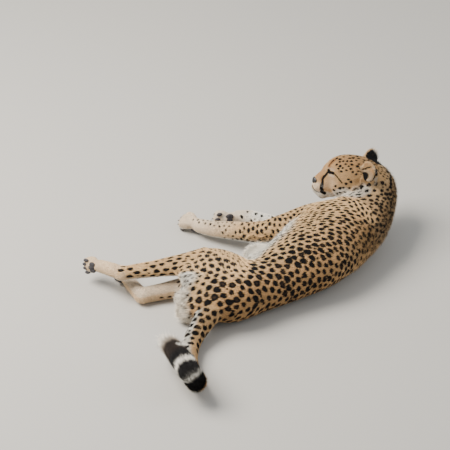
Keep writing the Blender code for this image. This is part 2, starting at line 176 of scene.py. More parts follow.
# In millimetres: x, y, z, half size in the floor plane, half size upwards
TRUNK = metres((
    (-525, -60, 80, 45, 45), (-480, -68, 84, 78, 72), (-410, -76, 87, 98, 92), (-310, -78, 82, 94, 86),
    (-200, -70, 87, 112, 92), (-80, -50, 98, 140, 105), (50, -4, 101, 146, 110), (150, 15, 104, 117, 103),
    (225, 55, 118, 92, 86),
))
NECK = metres((
    (160, 0, 110, 105, 92), (245, 52, 125, 92, 82), (308, 100, 158, 76, 70), (316, 146, 186, 62, 60),
    (290, 168, 198, 56, 56),
))
SHOULDER_LEFT = metres(((168, -45, 158, 45, 30), (152, 10, 168, 64, 38), (126, 68, 150, 56, 41)))
FORELEG_LEFT = metres((
    (115, 75, 138, 58, 46), (40, 110, 134, 55, 44), (-40, 145, 108, 50, 40), (-95, 190, 79, 44, 38),
    (-150, 255, 64, 36, 34), (-203, 335, 48, 30, 30), (-230, 390, 40, 27, 27),
))
FORELEG_RIGHT = metres((
    (80, 85, 65, 60, 45), (45, 140, 48, 52, 42), (10, 205, 40, 42, 38), (-18, 285, 35, 34, 33),
    (-45, 345, 31, 29, 30), (-80, 378, 30, 26, 27),
))
print("front forms:", len(TRUNK) + len(NECK) + len(FORELEG_LEFT) + len(FORELEG_RIGHT), "stations")

# %% Stations of the hind legs
THIGH_LEFT = metres((
    (-385, -60, 120, 100, 62), (-385, 0, 128, 95, 56), (-390, 60, 125, 78, 50), (-400, 110, 115, 52, 42),
))
HAMSTRING_LEFT = metres(((-480, -40, 110, 55, 50), (-475, 30, 118, 50, 40), (-475, 90, 112, 36, 34)))
SHANK_LEFT = metres((
    (-395, 100, 117, 55, 42), (-450, 123, 112, 46, 38), (-540, 168, 102, 34, 30), (-610, 204, 94, 28, 26),
    (-642, 220, 90, 26, 25),
))
FOOT_LEFT = metres(((-640, 218, 88, 29, 26), (-657, 270, 83, 26, 26), (-672, 318, 75, 23, 25)))
THIGH_RIGHT = metres((
    (-400, -50, 60, 90, 60), (-390, 0, 50, 80, 53), (-380, 60, 41, 60, 45), (-380, 95, 36, 45, 40),
))
HAMSTRING_RIGHT = metres(((-490, -40, 60, 55, 58), (-485, 20, 50, 50, 48), (-480, 70, 42, 36, 40)))
SHANK_RIGHT = metres((
    (-380, 90, 36, 50, 38), (-450, 108, 32, 42, 35), (-540, 133, 28, 34, 31), (-590, 145, 28, 30, 30),
    (-614, 152, 26, 25, 28),
))
FOOT_RIGHT = metres(((-610, 145, 27, 29, 29), (-604, 205, 24, 26, 26), (-600, 250, 24, 24, 26)))
print("hind forms:", len(THIGH_LEFT) + len(SHANK_LEFT) + len(THIGH_RIGHT) + len(SHANK_RIGHT), "stations")

# %% Belly, tail and rounded masses
BELLY = metres((
    (-60, 40, 60, 80, 62), (-150, 43, 58, 77, 60), (-210, 24, 58, 72, 58), (-270, -4, 58, 62, 56),
    (-340, -10, 62, 56, 56),
))
TAIL = metres((
    (-452, -96, 90, 55, 50), (-502, -108, 76, 44, 44), (-557, -132, 53, 37, 38), (-618, -171, 34, 34, 35),
    (-663, -224, 30, 32, 32), (-690, -278, 29, 31, 31), (-714, -340, 35, 32, 33), (-743, -396, 72, 33, 34),
    (-761, -402, 106, 35, 34), (-759, -366, 115, 37, 36), (-748, -305, 113, 39, 37), (-732, -238, 101, 36, 34),
    (-724, -190, 88, 24, 24),
))
# Rounded masses in millimetres: centre and half sizes
SCROTUM = metres(((-552, -8, 85), (30, 30, 34)))
REAR_FLUFF = metres(((-540, -22, 38), (45, 42, 44)))
BELLY_FLUFF = metres(((-180, 106, 56), (50, 46, 42)))
print("tail:", len(TAIL), "stations")

# %% Paws
# Wrist, toe tips, the way the sole faces, then length, width and thickness
PAWS = (
    ((-0.210, 0.350, 0.047), (-0.256, 0.480, 0.030), (0.3, 0.1, -1.0), 0.140, 0.062, 0.046),
    ((-0.062, 0.370, 0.032), (-0.175, 0.402, 0.033), (-0.45, -0.85, 0.25), 0.114, 0.062, 0.046),
    ((-0.662, 0.292, 0.080), (-0.692, 0.376, 0.058), (-1.0, -0.35, 0.15), 0.096, 0.052, 0.046),
    ((-0.602, 0.235, 0.024), (-0.594, 0.330, 0.026), (-1.0, -0.1, 0.1), 0.100, 0.050, 0.044),
)

# A paw's palm and pad masses, as shares of length, width and thickness: centre, then half sizes
PALM = ((0.42, 0, 0), (0.46, 0.36, 0.52))
PAD = ((0.62, 0, -0.22), (0.24, 0.34, 0.42))
# Toes: place across the paw in steps, and how far along the paw each reaches
TOES = ((-1.5, 0.92), (-0.5, 0.99), (0.5, 0.99), (1.5, 0.92))
TOE_STEP = 0.265  # share of the paw's width
TOE_SPREAD = 0.03  # how much wider the tips stand, per step
KNUCKLE_AT = 0.78  # share of the toe's reach
KNUCKLE = (0.024, 0.155, 0.46)  # half length, then shares of the width and thickness
TOE_TIP = (0.017, 0.145, 0.38)
TIP_BACK = 0.015  # from the toe's end to the centre of its tip
TOE_RISE = (0.10, -0.12)  # height of knuckle and tip, as shares of the thickness
print("paws:", len(PAWS))

# %% Head and ears
# Ears, in the head frame: root, tip and the way the cup opens, for the left side
EAR_ROOT = (-0.046, 0.046, 0.032)
EAR_TIP = (-0.078, 0.095, 0.079)
EAR_OPENS = (0.74, 0.62, 0.10)
EAR_HALF_WIDTH = 0.038
EAR_HALF_DEPTH = 0.024
EAR_WALL = 0.0085  # before the coat is taken off it
EAR_SIDES = 40

# Skull and muzzle in the head frame, in millimetres: x, y, z, half width, half height
HEAD_STATIONS = metres((
    (-100, 0, 2, 36, 44), (-80, 0, 2, 53, 64), (-50, 0, 2, 62, 75), (-10, 0, 4, 65, 79), (25, 0, 2, 58, 76),
    (48, 0, -10, 46, 65), (68, 0, -26, 35, 54), (92, 0, -39, 28, 44), (107, 0, -46, 23, 35), (114, 0, -45, 15, 22),
))

# Rounded masses of the head, in its frame and in millimetres: centre and half sizes
# The sided ones are mirrored
NOSE = metres(((115, 0, -20), (12, 13, 11)))
CHIN = metres(((93, 0, -74), (19, 16, 13)))
SIDED_MASSES = metres((
    ((46, 25, 37), (23, 18, 16)),  # brow
    ((94, 16, -44), (25, 18, 19)),  # whisker pad
    ((20, 40, -22), (44, 29, 36)),  # cheek
))

# Head frame: origin between the ears and eyes, +X to the nose, +Y to the animal's left, +Z to the crown
HEAD_AT = Vector((0.2375, 0.158, 0.200))
HEAD_TURN = math.radians(141.8)
HEAD_PITCH = math.radians(6.3)
HEAD_ROLL = math.radians(13.1)
print("head:", len(HEAD_STATIONS), "stations")

# %% Lofts and rounded masses
SPAN_STEPS = 6  # rings between two stations
LOFT_SIDES = 32
LOFT_TURNS = [2 * math.pi * k / LOFT_SIDES for k in range(LOFT_SIDES)]
ROUND_SIDES = 32
DOME_ANGLES = (30, 60, 80)


def catmull_rom(before, start, end, after, t):
    """One point of the smooth curve through a row of stations."""
    return [
        0.5 * (2 * b + (c - a) * t + (2 * a - 5 * b + 4 * c - d) * t**2 + (3 * b - a - 3 * c + d) * t**3)
        for a, b, c, d in zip(before, start, end, after)
    ]


def rounded_path(stations, steps=SPAN_STEPS):
    last = len(stations) - 1
    path = []
    for i in range(last):
        around = [stations[max(0, min(last, i + k))] for k in (-1, 0, 1, 2)]
        path += [catmull_rom(*around, step / steps) for step in range(steps)]
    path.append(list(stations[last]))
    return path


def join_loops(mesh, loops):
    """Closes a row of loops into a tube with flat ends."""
    for low, top in zip(loops, loops[1:]):
        for k in range(len(low)):
            after = (k + 1) % len(low)
            mesh.faces.new((low[k], low[after], top[after], top[k]))
    mesh.faces.new(loops[0][::-1])
    mesh.faces.new(loops[-1])


def add_loft(mesh, stations, place=Matrix.Identity(4)):
    """A closed tube of elliptic rings with a domed end on each side."""
    path = rounded_path(stations)
    centres = [Vector(p[:3]) for p in path]
    rings = []
    for i, (*_, flat, tall) in enumerate(path):
        ahead = (centres[min(i + 1, len(path) - 1)] - centres[max(i - 1, 0)]).normalized()
        side = ahead.cross(Vector((0, 0, 1))).normalized()
        rings.append((centres[i], side * flat, side.cross(ahead) * tall, ahead))
    for end, sign in ((0, -1), (-1, 1)):
        centre, side, high, ahead = rings[end]
        depth = min(side.length, high.length)
        caps = []
        for angle in DOME_ANGLES:
            share, reach = math.cos(math.radians(angle)), math.sin(math.radians(angle))
            caps.append((centre + ahead * sign * depth * reach, side * share, high * share, ahead))
        rings = caps[::-1] + rings if end == 0 else rings + caps
    loops = []
    for centre, side, high, _ in rings:
        loop = []
        for angle in LOFT_TURNS:
            loop.append(mesh.verts.new(place @ (centre + side * math.cos(angle) + high * math.sin(angle))))
        loops.append(loop)
    join_loops(mesh, loops)


def unit_ball():
    mesh = bmesh.new()
    bmesh.ops.create_uvsphere(mesh, u_segments=ROUND_SIDES, v_segments=ROUND_SIDES // 2, radius=1.0)
    return data_of(mesh, "ball")


def add_ellipsoid(mesh, centre, radii, place=Matrix.Identity(4)):
    """A stretched copy of one ball, which is much quicker than making each ball anew."""
    ball = BALL.copy()
    ball.transform(place @ Matrix.Translation(centre) @ Matrix.Diagonal((*radii, 1.0)))
    mesh.from_mesh(ball)
    bpy.data.meshes.remove(ball)


def object_of(mesh, name):
    bmesh.ops.recalc_face_normals(mesh, faces=mesh.faces)
    return linked(name, data_of(mesh, name))


def baked(obj):
    """Applies an object's modifiers."""
    graph = bpy.context.evaluated_depsgraph_get()
    data = bpy.data.meshes.new_from_object(obj.evaluated_get(graph))
    obj.modifiers.clear()
    obj.data = data
    return obj


BALL = unit_ball()
print("loft:", LOFT_SIDES, "sides; ball:", len(BALL.polygons), "faces")

# %% Frames of the head and the paws
def head_frame():
    turn = Matrix.Rotation(HEAD_TURN, 4, "Z") @ Matrix.Rotation(-HEAD_PITCH, 4, "Y")
    return Matrix.Translation(HEAD_AT) @ turn @ Matrix.Rotation(HEAD_ROLL, 4, "X")


def paw_frame(wrist, toes, sole):
    """+X runs to the toes, +Z to the back of the paw, away from the sole."""
    ahead = (Vector(toes) - Vector(wrist)).normalized()
    back = -Vector(sole)
    back = (back - ahead * back.dot(ahead)).normalized()
    side = back.cross(ahead)
    return Matrix.Translation(wrist) @ Matrix((ahead, side, back)).transposed().to_4x4()


def add_paw(mesh, place, length, width, thick):
    """A pad-footed paw with four toes, from the wrist at the origin to the toe tips at +X."""
    size = Vector((length, width, thick))
    for centre, half in (PALM, PAD):
        add_ellipsoid(mesh, size * Vector(centre), size * Vector(half), place)
    for step, share in TOES:
        side = step * width * TOE_STEP
        reach = length * share
        knuckle = (reach * KNUCKLE_AT, side, thick * TOE_RISE[0])
        tip = (reach - TIP_BACK, side * (1 + TOE_SPREAD * abs(step)), thick * TOE_RISE[1])
        for centre, (long, wide, tall) in ((knuckle, KNUCKLE), (tip, TOE_TIP)):
            add_ellipsoid(mesh, centre, (long, width * wide, thick * tall), place)


def ear_place(side):
    """The frame of one ear: +X the way it opens, +Z from root to tip, and its length."""
    root, tip, opens = (Vector((v[0], v[1] * side, v[2])) for v in (EAR_ROOT, EAR_TIP, EAR_OPENS))
    upward = (tip - root).normalized()
    ahead = (opens - upward * opens.dot(upward)).normalized()
    frame = Matrix((ahead, upward.cross(ahead), upward)).transposed().to_4x4()
    return head_frame() @ Matrix.Translation(root) @ frame, (tip - root).length


def ear_cup(side):
    """A rounded cup, opened towards the front."""
    place, length = ear_place(side)
    shapes = []
    for name, shrink, shift in (("shell", 0.0, 0.0), ("hollow", EAR_WALL, EAR_HALF_DEPTH * 0.55)):
        mesh = bmesh.new()
        half = (EAR_HALF_DEPTH - shrink, EAR_HALF_WIDTH - shrink, length / 2 - shrink)
        shape = place @ Matrix.Translation((shift, 0, length / 2)) @ Matrix.Diagonal((*half, 1.0))
        bmesh.ops.create_uvsphere(mesh, u_segments=EAR_SIDES, v_segments=EAR_SIDES // 2, radius=1.0, matrix=shape)
        shapes.append(object_of(mesh, name))
    ear, hollow = shapes
    cut = ear.modifiers.new("hollow", "BOOLEAN")
    cut.operation = "DIFFERENCE"
    cut.solver = "EXACT"
    cut.object = hollow
    baked(ear)
    bpy.data.objects.remove(hollow, do_unlink=True)
    return ear


HEAD_FRAME = head_frame()
print("head at", tuple(round(c, 3) for c in HEAD_FRAME.translation))

# %% [markdown]
# ## One skin over all the forms
# A real pelt has no seams, and neither has this one. All lofts go into one mesh, a voxel Remesh
# turns them into a single closed surface, and smoothing rounds the valleys between them. Working
# on plain arrays of points keeps this quick: each pass moves every point part of the way to the
# middle of its neighbours.

# %% Fuse the forms
SKIN_VOXEL = 0.0056

forms = bmesh.new()
for row in (
    TRUNK, NECK, SHOULDER_LEFT, FORELEG_LEFT, FORELEG_RIGHT, THIGH_LEFT, HAMSTRING_LEFT, SHANK_LEFT,
    FOOT_LEFT, THIGH_RIGHT, HAMSTRING_RIGHT, SHANK_RIGHT, FOOT_RIGHT, BELLY, TAIL,
):
    add_loft(forms, row)
for mass in (SCROTUM, REAR_FLUFF, BELLY_FLUFF):
    add_ellipsoid(forms, *mass)
for wrist, toes, sole, *sizes in PAWS:
    add_paw(forms, paw_frame(wrist, toes, sole), *sizes)
add_loft(forms, HEAD_STATIONS, HEAD_FRAME)
for centre, radii in (NOSE, CHIN):
    add_ellipsoid(forms, centre, radii, HEAD_FRAME)
for (x, y, z), radii in SIDED_MASSES:
    for side in (-1, 1):
        add_ellipsoid(forms, (x, side * y, z), radii, HEAD_FRAME)
for side in (1, -1):
    ear = ear_cup(side)
    forms.from_mesh(ear.data)
    bpy.data.objects.remove(ear, do_unlink=True)
skin = object_of(forms, "skin")
remesh = skin.modifiers.new("fuse", "REMESH")
remesh.mode = "VOXEL"
remesh.voxel_size = SKIN_VOXEL
baked(skin)
print("fused skin:", len(skin.data.vertices), "points,", len(skin.data.polygons), "faces")

# %% Smoothing on arrays of points
BODY_PASSES = 4
TRUNK_PASSES = 29
TRUNK_REACH = 0.20  # the trunk is smoothed this far round its line
TRUNK_FADE = 0.05
HEAD_KEEP = 0.11  # and the head is left alone this far round its middle
HEAD_FADE = 0.04


def read(items, key, width=1, kind=float):
    """One value of every item, in rows as wide as the value."""
    flat = np.empty(len(items) * width, dtype=kind)
    items.foreach_get(key, flat)
    return flat.reshape(-1, width) if width > 1 else flat


def points_and_edges():
    return read(skin.data.vertices, "co", 3), read(skin.data.edges, "vertices", 2, np.int64)


def normals_of(mesh):
    return read(mesh.vertex_normals, "vector", 3, np.float32).astype(float)


def shape_skin():
    """Hands the array of points back to the skin."""
    skin.data.vertices.foreach_set("co", skin_points.ravel())
    skin.data.update()


def neighbour_mean(values, edges):
    """The mean of each point's neighbours, for one or more columns of values."""
    count = np.bincount(edges.ravel(), minlength=len(values)).astype(float)
    total = np.empty_like(values)
    for axis in range(values.shape[1]):
        column = values[:, axis]
        total[:, axis] = np.bincount(edges[:, 0], column[edges[:, 1]], len(values))
        total[:, axis] += np.bincount(edges[:, 1], column[edges[:, 0]], len(values))
    return total / np.maximum(count, 1)[:, None]


def relaxed(points, edges, passes, weight):
    for _ in range(passes):
        points = points + (neighbour_mean(points, edges) - points) * (0.5 * weight)[:, None]
    return points


def nearest_distance(points, targets):
    targets = np.asarray(targets, dtype=float)
    return np.sqrt(((points[:, None, :] - targets[None, :, :]) ** 2).sum(axis=2)).min(axis=1)


skin_points, skin_edges = points_and_edges()
skin_points = relaxed(skin_points, skin_edges, BODY_PASSES, np.ones(len(skin_points)))
from_line = nearest_distance(skin_points, [row[:3] for row in TRUNK])
from_head = nearest_distance(skin_points, [tuple(HEAD_AT)])
broad = np.clip(np.minimum((TRUNK_REACH - from_line) / TRUNK_FADE, (from_head - HEAD_KEEP) / HEAD_FADE), 0, 1)
skin_points = relaxed(skin_points, skin_edges, TRUNK_PASSES, broad)
shape_skin()
print("smoothed:", int((broad > 0).sum()), "trunk points")

# %% Finer faces on the head and the paws
FINE_HEAD = 0.150  # how far round the head's middle the faces are split
FINE_PAW = 0.075
FINE_PASSES = 2


def paw_points(share):
    """A place in each paw, by its share of the way from the wrist to the toe tips."""
    return [tuple(Vector(wrist).lerp(Vector(tip), share)) for wrist, tip, *_ in PAWS]


def fine_zone(points):
    """Where the skin needs finer faces: the head with its ears, and the toes."""
    middle = HEAD_FRAME @ Vector((0.015, 0, 0.015))
    zone = nearest_distance(points, [tuple(middle)]) < FINE_HEAD
    return zone | (nearest_distance(points, paw_points(0.7)) < FINE_PAW)


mesh = bmesh.new()
mesh.from_mesh(skin.data)
mesh.verts.ensure_lookup_table()
zone = fine_zone(skin_points)
split = [edge for edge in mesh.edges if zone[edge.verts[0].index] and zone[edge.verts[1].index]]
bmesh.ops.subdivide_edges(mesh, edges=split, cuts=1, use_grid_fill=True)
mesh.to_mesh(skin.data)
mesh.free()
skin_points, skin_edges = points_and_edges()
skin_points = relaxed(skin_points, skin_edges, FINE_PASSES, fine_zone(skin_points).astype(float))
shape_skin()
print("refined skin:", len(skin.data.vertices), "points,", len(skin.data.polygons), "faces")

# %% [markdown]
# ## Where each point belongs
# Hair, spots and colour all depend on where a point sits: on which limb, how far along it, and
# on which side. Each limb has an axis here, running the way its hair lies. The nearest axis,
# measured in radii so that thick and thin limbs compete fairly, tells a point all three.

# %% Axes of the limbs
AXIS_STEPS = 8
LIMBS = ("trunk", "neck", "foreleg_left", "foreleg_right", "thigh_left", "shank_left", "foot_left",
         "thigh_right", "shank_right", "foot_right", "tail", "head")


def paw_row(i):
    wrist, toes, _, _, width, thick = PAWS[i]
    return ((*wrist, width / 2, thick / 2), (*toes, width / 2, thick / 2))


head_row = [(*(HEAD_FRAME @ Vector(row[:3])), *row[3:]) for row in HEAD_STATIONS]
limb_rows = {
    "trunk": TRUNK[::-1],
    "neck": NECK[::-1],
    "foreleg_left": SHOULDER_LEFT + FORELEG_LEFT[1:] + paw_row(0)[1:],
    "foreleg_right": FORELEG_RIGHT + paw_row(1)[1:],
    "thigh_left": THIGH_LEFT,
    "shank_left": SHANK_LEFT,
    "foot_left": FOOT_LEFT[:-1] + paw_row(2)[1:],
    "thigh_right": THIGH_RIGHT,
    "shank_right": SHANK_RIGHT,
    "foot_right": FOOT_RIGHT[:-1] + paw_row(3)[1:],
    "tail": TAIL[1:],
    "head": head_row[::-1],
}
axis_parts = []
for number, limb in enumerate(LIMBS):
    path = np.array(rounded_path(limb_rows[limb], AXIS_STEPS))
    ahead = np.gradient(path[:, :3], axis=0)
    ahead /= np.linalg.norm(ahead, axis=1)[:, None]
    step = np.linalg.norm(np.diff(path[:, :3], axis=0), axis=1)
    along = np.concatenate(([0], np.cumsum(step)))
    radius = np.sqrt(path[:, 3] * path[:, 4])
    axis_parts.append(np.column_stack((path[:, :3], ahead, radius, along, np.full(len(path), number))))
axis_table = np.vstack(axis_parts)
limb_length = [part[-1, 7] for part in axis_parts]
TAIL_LENGTH = limb_length[LIMBS.index("tail")]
print("axes:", {limb: round(length, 2) for limb, length in zip(LIMBS, limb_length)})

# %% Place of a point on the body
CHUNK = 8000
AXIS_BLEND = 7.0  # how sharply the nearest axis wins


def place_on_body(points):
    """Limb number, distance along its axis, middle of the axis there, and the blended run."""
    limb = np.empty(len(points), dtype=int)
    along = np.empty(len(points))
    centre = np.empty((len(points), 3))
    run = np.empty((len(points), 3))
    size = np.empty(len(points))
    for start in range(0, len(points), CHUNK):
        part = slice(start, start + CHUNK)
        near = points[part]
        square = (near**2).sum(axis=1)[:, None] + (axis_table[:, :3] ** 2).sum(axis=1)[None, :]
        gap = np.sqrt(np.maximum(square - 2 * near @ axis_table[:, :3].T, 0))
        rank = (gap / axis_table[None, :, 6]).astype(np.float32)
        best = rank.argmin(axis=1)
        weight = np.exp(-AXIS_BLEND * (rank - rank.min(axis=1)[:, None]))
        mixed = weight @ axis_table[:, 3:6]
        run[part] = mixed / np.maximum(np.linalg.norm(mixed, axis=1), 1e-6)[:, None]
        limb[part] = axis_table[best, 8].astype(int)
        along[part] = axis_table[best, 7]
        centre[part] = axis_table[best, :3]
        size[part] = axis_table[best, 6]
    return limb, along, centre, run, size


def unit(vectors):
    return vectors / np.maximum(np.linalg.norm(vectors, axis=-1), 1e-9)[..., None]


def dot(a, b):
    return (a * b).sum(axis=-1)


def is_limb(limb, *names):
    return np.isin(limb, [LIMBS.index(name) for name in names])


print("axis points:", len(axis_table))

# %% [markdown]
# ## Room for the coat
# The solids reach out to the tips of the hair, so the skin is drawn in by the coat's depth: a
# few millimetres on the flanks, more under the belly and on the tail's end, and hardly any on
# the face, ears and feet. What rests on the floor is pressed flat, as soft flesh is.

# %% Depth of the coat
DEPTH_BODY = 0.0038
DEPTH_HEAD = 0.0016
DEPTH_FOOT = 0.0022
DEPTH_BELLY = 0.011
DEPTH_TAIL_END = 0.012
TAIL_END = 0.30  # length of tail over which the hair grows to its full depth
FLOOR_LEVEL = 0.0025


def blend_step(low, high, values):
    t = np.clip((values - low) / (high - low), 0, 1)
    return t * t * (3 - 2 * t)


def fade_out(low, high, values):
    return 1 - blend_step(low, high, values)


def distance_to(points, place):
    return np.sqrt(((points - np.asarray(place, dtype=float)) ** 2).sum(axis=1))


def eased(values):
    """Values on the skin, each mixed twice with its neighbours."""
    return neighbour_mean(neighbour_mean(values[:, None], skin_edges), skin_edges)[:, 0]


limb, along, *_ = place_on_body(skin_points)
skin_normals = normals_of(skin.data)
head_middle = HEAD_FRAME @ Vector((0.02, 0, 0))
near_head = fade_out(0.105, 0.150, distance_to(skin_points, head_middle))
toe_points = paw_points(0.6)
near_foot = fade_out(0.06, 0.16, nearest_distance(skin_points, toe_points))
depth = np.full(len(skin_points), DEPTH_BODY)
depth += (DEPTH_HEAD - depth) * near_head
depth += (DEPTH_FOOT - depth) * near_foot
fluffy = fade_out(0.7, 1.3, distance_to(skin_points, BELLY_FLUFF[0]) / 0.075)
rear = fade_out(0.7, 1.4, distance_to(skin_points, REAR_FLUFF[0]) / 0.06)
depth += (DEPTH_BELLY - depth) * np.maximum(fluffy, rear)
tail_end = is_limb(limb, "tail") * blend_step(TAIL_LENGTH - TAIL_END, TAIL_LENGTH, along)
depth += (DEPTH_TAIL_END - depth) * tail_end
depth = eased(depth)
skin_points = skin_points - skin_normals * depth[:, None]
skin_points = relaxed(skin_points, skin_edges, 1, np.ones(len(skin_points)))
skin_points[:, 2] = np.maximum(skin_points[:, 2], FLOOR_LEVEL)
shape_skin()
print("coat depth:", round(depth.min() * 1000, 1), "to", round(depth.max() * 1000, 1), "mm")

# %% [markdown]
# ## Modelling the face and the muscles
# Smooth forms alone look like an inflated toy. A sculptor now adds what lies under the skin,
# with strokes: each stroke follows a short path and pushes the skin out or in along its own
# normal, fading with distance. Strokes on the face are given in the head's frame, once for the
# left side, and mirrored for the right.

# %% Strokes
def tenths(rows):
    """Nested rows of tenths of a millimetre, in metres."""
    return metres(rows, 10000)


# Face: path in the head frame, reach, lift (negative digs in)
FACE_STROKES = tenths((
    (((670, 335, 285), (640, 355, 280)), 130, 42),  # eyeball under the lid
    (((800, 260, 200), (765, 285, 245)), 80, -22),  # inner corner
    (((750, 200, 430), (600, 350, 440), (440, 450, 370)), 95, 28),  # brow
    (((745, 285, 245), (700, 335, 228), (648, 371, 222), (560, 420, 232)), 34, -26),  # where the lids meet
    (((735, 285, 345), (650, 345, 370), (560, 400, 340)), 32, -18),  # fold of the upper lid
    (((620, 420, 80), (400, 530, 20)), 150, 16),  # cheekbone
    (((880, 225, 20), (900, 240, -180)), 110, -20),  # side of the nose
    (((1020, 200, -400), (930, 240, -420)), 140, 22),  # whisker pad
    (((1165, 30, -440), (1110, 130, -560), (1010, 200, -620), (910, 245, -590), (850, 270, -500)), 36, -24),  # mouth
    (((700, 300, -640), (560, 360, -620)), 130, -16),  # hollow behind the chin
    (((-300, 600, 100), (-400, 620, -200)), 160, -28),  # in front of the ear
    (((800, 200, -780), (400, 350, -740), (50, 480, -640)), 330, 110),  # jaw
))
MIDDLE_STROKES = tenths((
    (((1180, 0, -380), (1160, 0, -520)), 26, -18),  # furrow under the nose
    (((900, 0, 160), (600, 0, 480)), 100, -14),  # stop between the eyes
))
# Body: path in the animal's frame, reach, lift
BODY_STROKES = tenths((
    (((1680, -450, 2000), (1400, 300, 1950)), 320, 45),  # shoulder blade
    (((750, -1000, 1900), (620, -500, 2050), (550, 100, 2120)), 340, -45),  # behind the shoulder
    (((300, 1000, 1900), (850, 850, 2050), (1300, 700, 2100)), 550, 140),  # top of the arm
    (((-2620, -600, 1700), (-2550, 100, 1500), (-2500, 600, 1100)), 450, -70),  # flank
    (((-3350, -1300, 1500), (-3500, -1050, 1720)), 240, 45),  # hip bone
    (((-4400, 100, 1600), (-4300, 750, 1500)), 360, 35),  # thigh muscle
    (((-5200, -600, 1300), (-5000, -100, 1450)), 260, -40),  # behind the thigh
    (((-3850, 1200, 1580), (-3750, 1250, 1400)), 220, 30),  # knee
    (((-5000, 1650, 1050), (-6000, 2180, 940)), 100, 20),  # tendon above the hock
    (((-5200, 1320, 1180), (-5900, 1720, 1080)), 100, -22),
    (((-6550, 2140, 880),), 180, 35),  # point of the hock
    (((-600, 1900, 1000), (-500, 1600, 1200)), 300, 30),  # forearm muscle
    (((-2050, 3150, 600),), 200, 25),  # wrist
))
# Furrows between the toes, as shares of the paw's reach and thickness
TOE_FURROWS = (-1.0, 0.0, 1.0)
TOE_FURROW_PATH = ((0.66, 0.46), (0.86, 0.36), (1.0, 0.0))
TOE_FURROW = (0.0058, -0.0036)  # reach and lift
RIB_LIFT = 0.0011
RIB_GAP = 0.030
RIB_SLANT = 0.35
RIBS = ((-0.045, -0.02), (0.085, 0.09))  # middle of the rib cage in x and y, and how far it reaches
RIB_FLOOR = 0.1  # ribs show above this height


def path_distance(points, path):
    """Distance from each point to a path of straight pieces."""
    path = np.asarray(path, dtype=float)
    if len(path) == 1:
        return distance_to(points, path[0])
    best = np.full(len(points), np.inf)
    for start, end in zip(path, path[1:]):
        span = end - start
        t = np.clip((points - start) @ span / max(span @ span, 1e-12), 0, 1)
        best = np.minimum(best, np.sqrt(((points - start - t[:, None] * span) ** 2).sum(axis=1)))
    return best


def to_head(points):
    inverse = np.array(HEAD_FRAME.inverted())
    return points @ inverse[:3, :3].T + inverse[:3, 3]


def mirrored(path):
    return [(x, -y, z) for x, y, z in path]


def strokes(points, normals, places, jobs):
    """Pushes points along their normals wherever a job's path, in the frame of places, is near."""
    shift = np.zeros(len(points))
    for path, reach, lift in jobs:
        share = np.clip(1 - path_distance(places, path) / reach, 0, 1)
        shift += lift * share * share * (3 - 2 * share)
    return points + normals * shift[:, None]


skin_normals = normals_of(skin.data)
in_head = to_head(skin_points)
face_jobs = list(FACE_STROKES) + [(mirrored(path), reach, lift) for path, reach, lift in FACE_STROKES]
skin_points = strokes(skin_points, skin_normals, in_head, face_jobs + list(MIDDLE_STROKES))
toe_jobs = []
for wrist, toes, sole, length, width, thick in PAWS:
    place = paw_frame(wrist, toes, sole)
    for step in TOE_FURROWS:
        path = [tuple(place @ Vector((length * x, step * width * TOE_STEP, thick * z))) for x, z in TOE_FURROW_PATH]
        toe_jobs.append((path, *TOE_FURROW))
skin_points = strokes(skin_points, skin_normals, skin_points, list(BODY_STROKES) + toe_jobs)
x, y = skin_points[:, 0], skin_points[:, 1]
(rib_x, rib_y), (reach_x, reach_y) = RIBS
ribs = np.exp(-(((x - rib_x) / reach_x) ** 2) - ((y - rib_y) / reach_y) ** 2)
wave = np.sin(2 * math.pi * (x + RIB_SLANT * y) / RIB_GAP)
skin_points += skin_normals * (RIB_LIFT * ribs * wave * (skin_points[:, 2] > RIB_FLOOR))[:, None]
skin_points[:, 2] = np.maximum(skin_points[:, 2], FLOOR_LEVEL)
shape_skin()
skin.data.shade_smooth()
print("strokes:", len(face_jobs) + len(MIDDLE_STROKES) + len(BODY_STROKES))

# %% [markdown]
# ## The lie of the coat and the spots
# A cheetah's spots are solid and never quite even: long and thin over the shoulder, rounder and
# larger on the rump, small on the legs and crown, and crowded towards the spine. They are laid
# out like seeds here. Random places on the skin are tried in turn, and one is kept if no other
# lies within the spacing wanted there, along and across the way the spots run. Colours then
# follow from the same place on the body, so that skin and hair always agree.

# %% Side of the body and lie of the hair
SPOT_TURN = ((-1.0, 85), (-0.45, 62), (0.1, 44), (0.6, 20), (1.0, 8))
UP = np.array((0.0, 0.0, 1.0))


def body_places(points, normals):
    """What every marking and hair needs to know about a set of points."""
    limb, along, centre, run, size = place_on_body(points)
    belly = unit(np.cross(run, UP))
    side = np.clip(dot(points - centre, belly) / size, -1.2, 1.2)
    flank = np.where(points[:, 2] > centre[:, 2], 1.0, -1.0)
    around = unit(np.cross(run, normals)) * flank[:, None]
    flat_run = unit(run - normals * dot(run, normals)[:, None])
    return {
        "points": points, "normals": normals, "limb": limb, "along": along, "centre": centre,
        "run": run, "size": size, "side": side, "around": around, "flat": flat_run, "head": to_head(points),
    }


def trunk_share(place):
    """How far along the trunk, from the chest at 0 to the rump at 1."""
    return np.clip((0.20 - place["points"][:, 0]) / 0.70, 0, 1)


def turned(place, degrees):
    angle = np.radians(degrees)[:, None]
    return unit(place["flat"] * np.cos(angle) + place["around"] * np.sin(angle))


def hair_lie(place):
    """The hair runs towards the tail and the toes, and a little down the flanks."""
    on_trunk = is_limb(place["limb"], "trunk", "neck", "thigh_left", "thigh_right")
    lie = turned(place, np.where(on_trunk, 16.0, 4.0))
    lie -= place["normals"] * dot(lie, place["normals"])[:, None]
    return unit(lie)


skin_normals = normals_of(skin.data)
skin_place = body_places(skin_points, skin_normals)
print("points by limb:", dict(zip(LIMBS, np.bincount(skin_place["limb"], minlength=len(LIMBS)).tolist())))

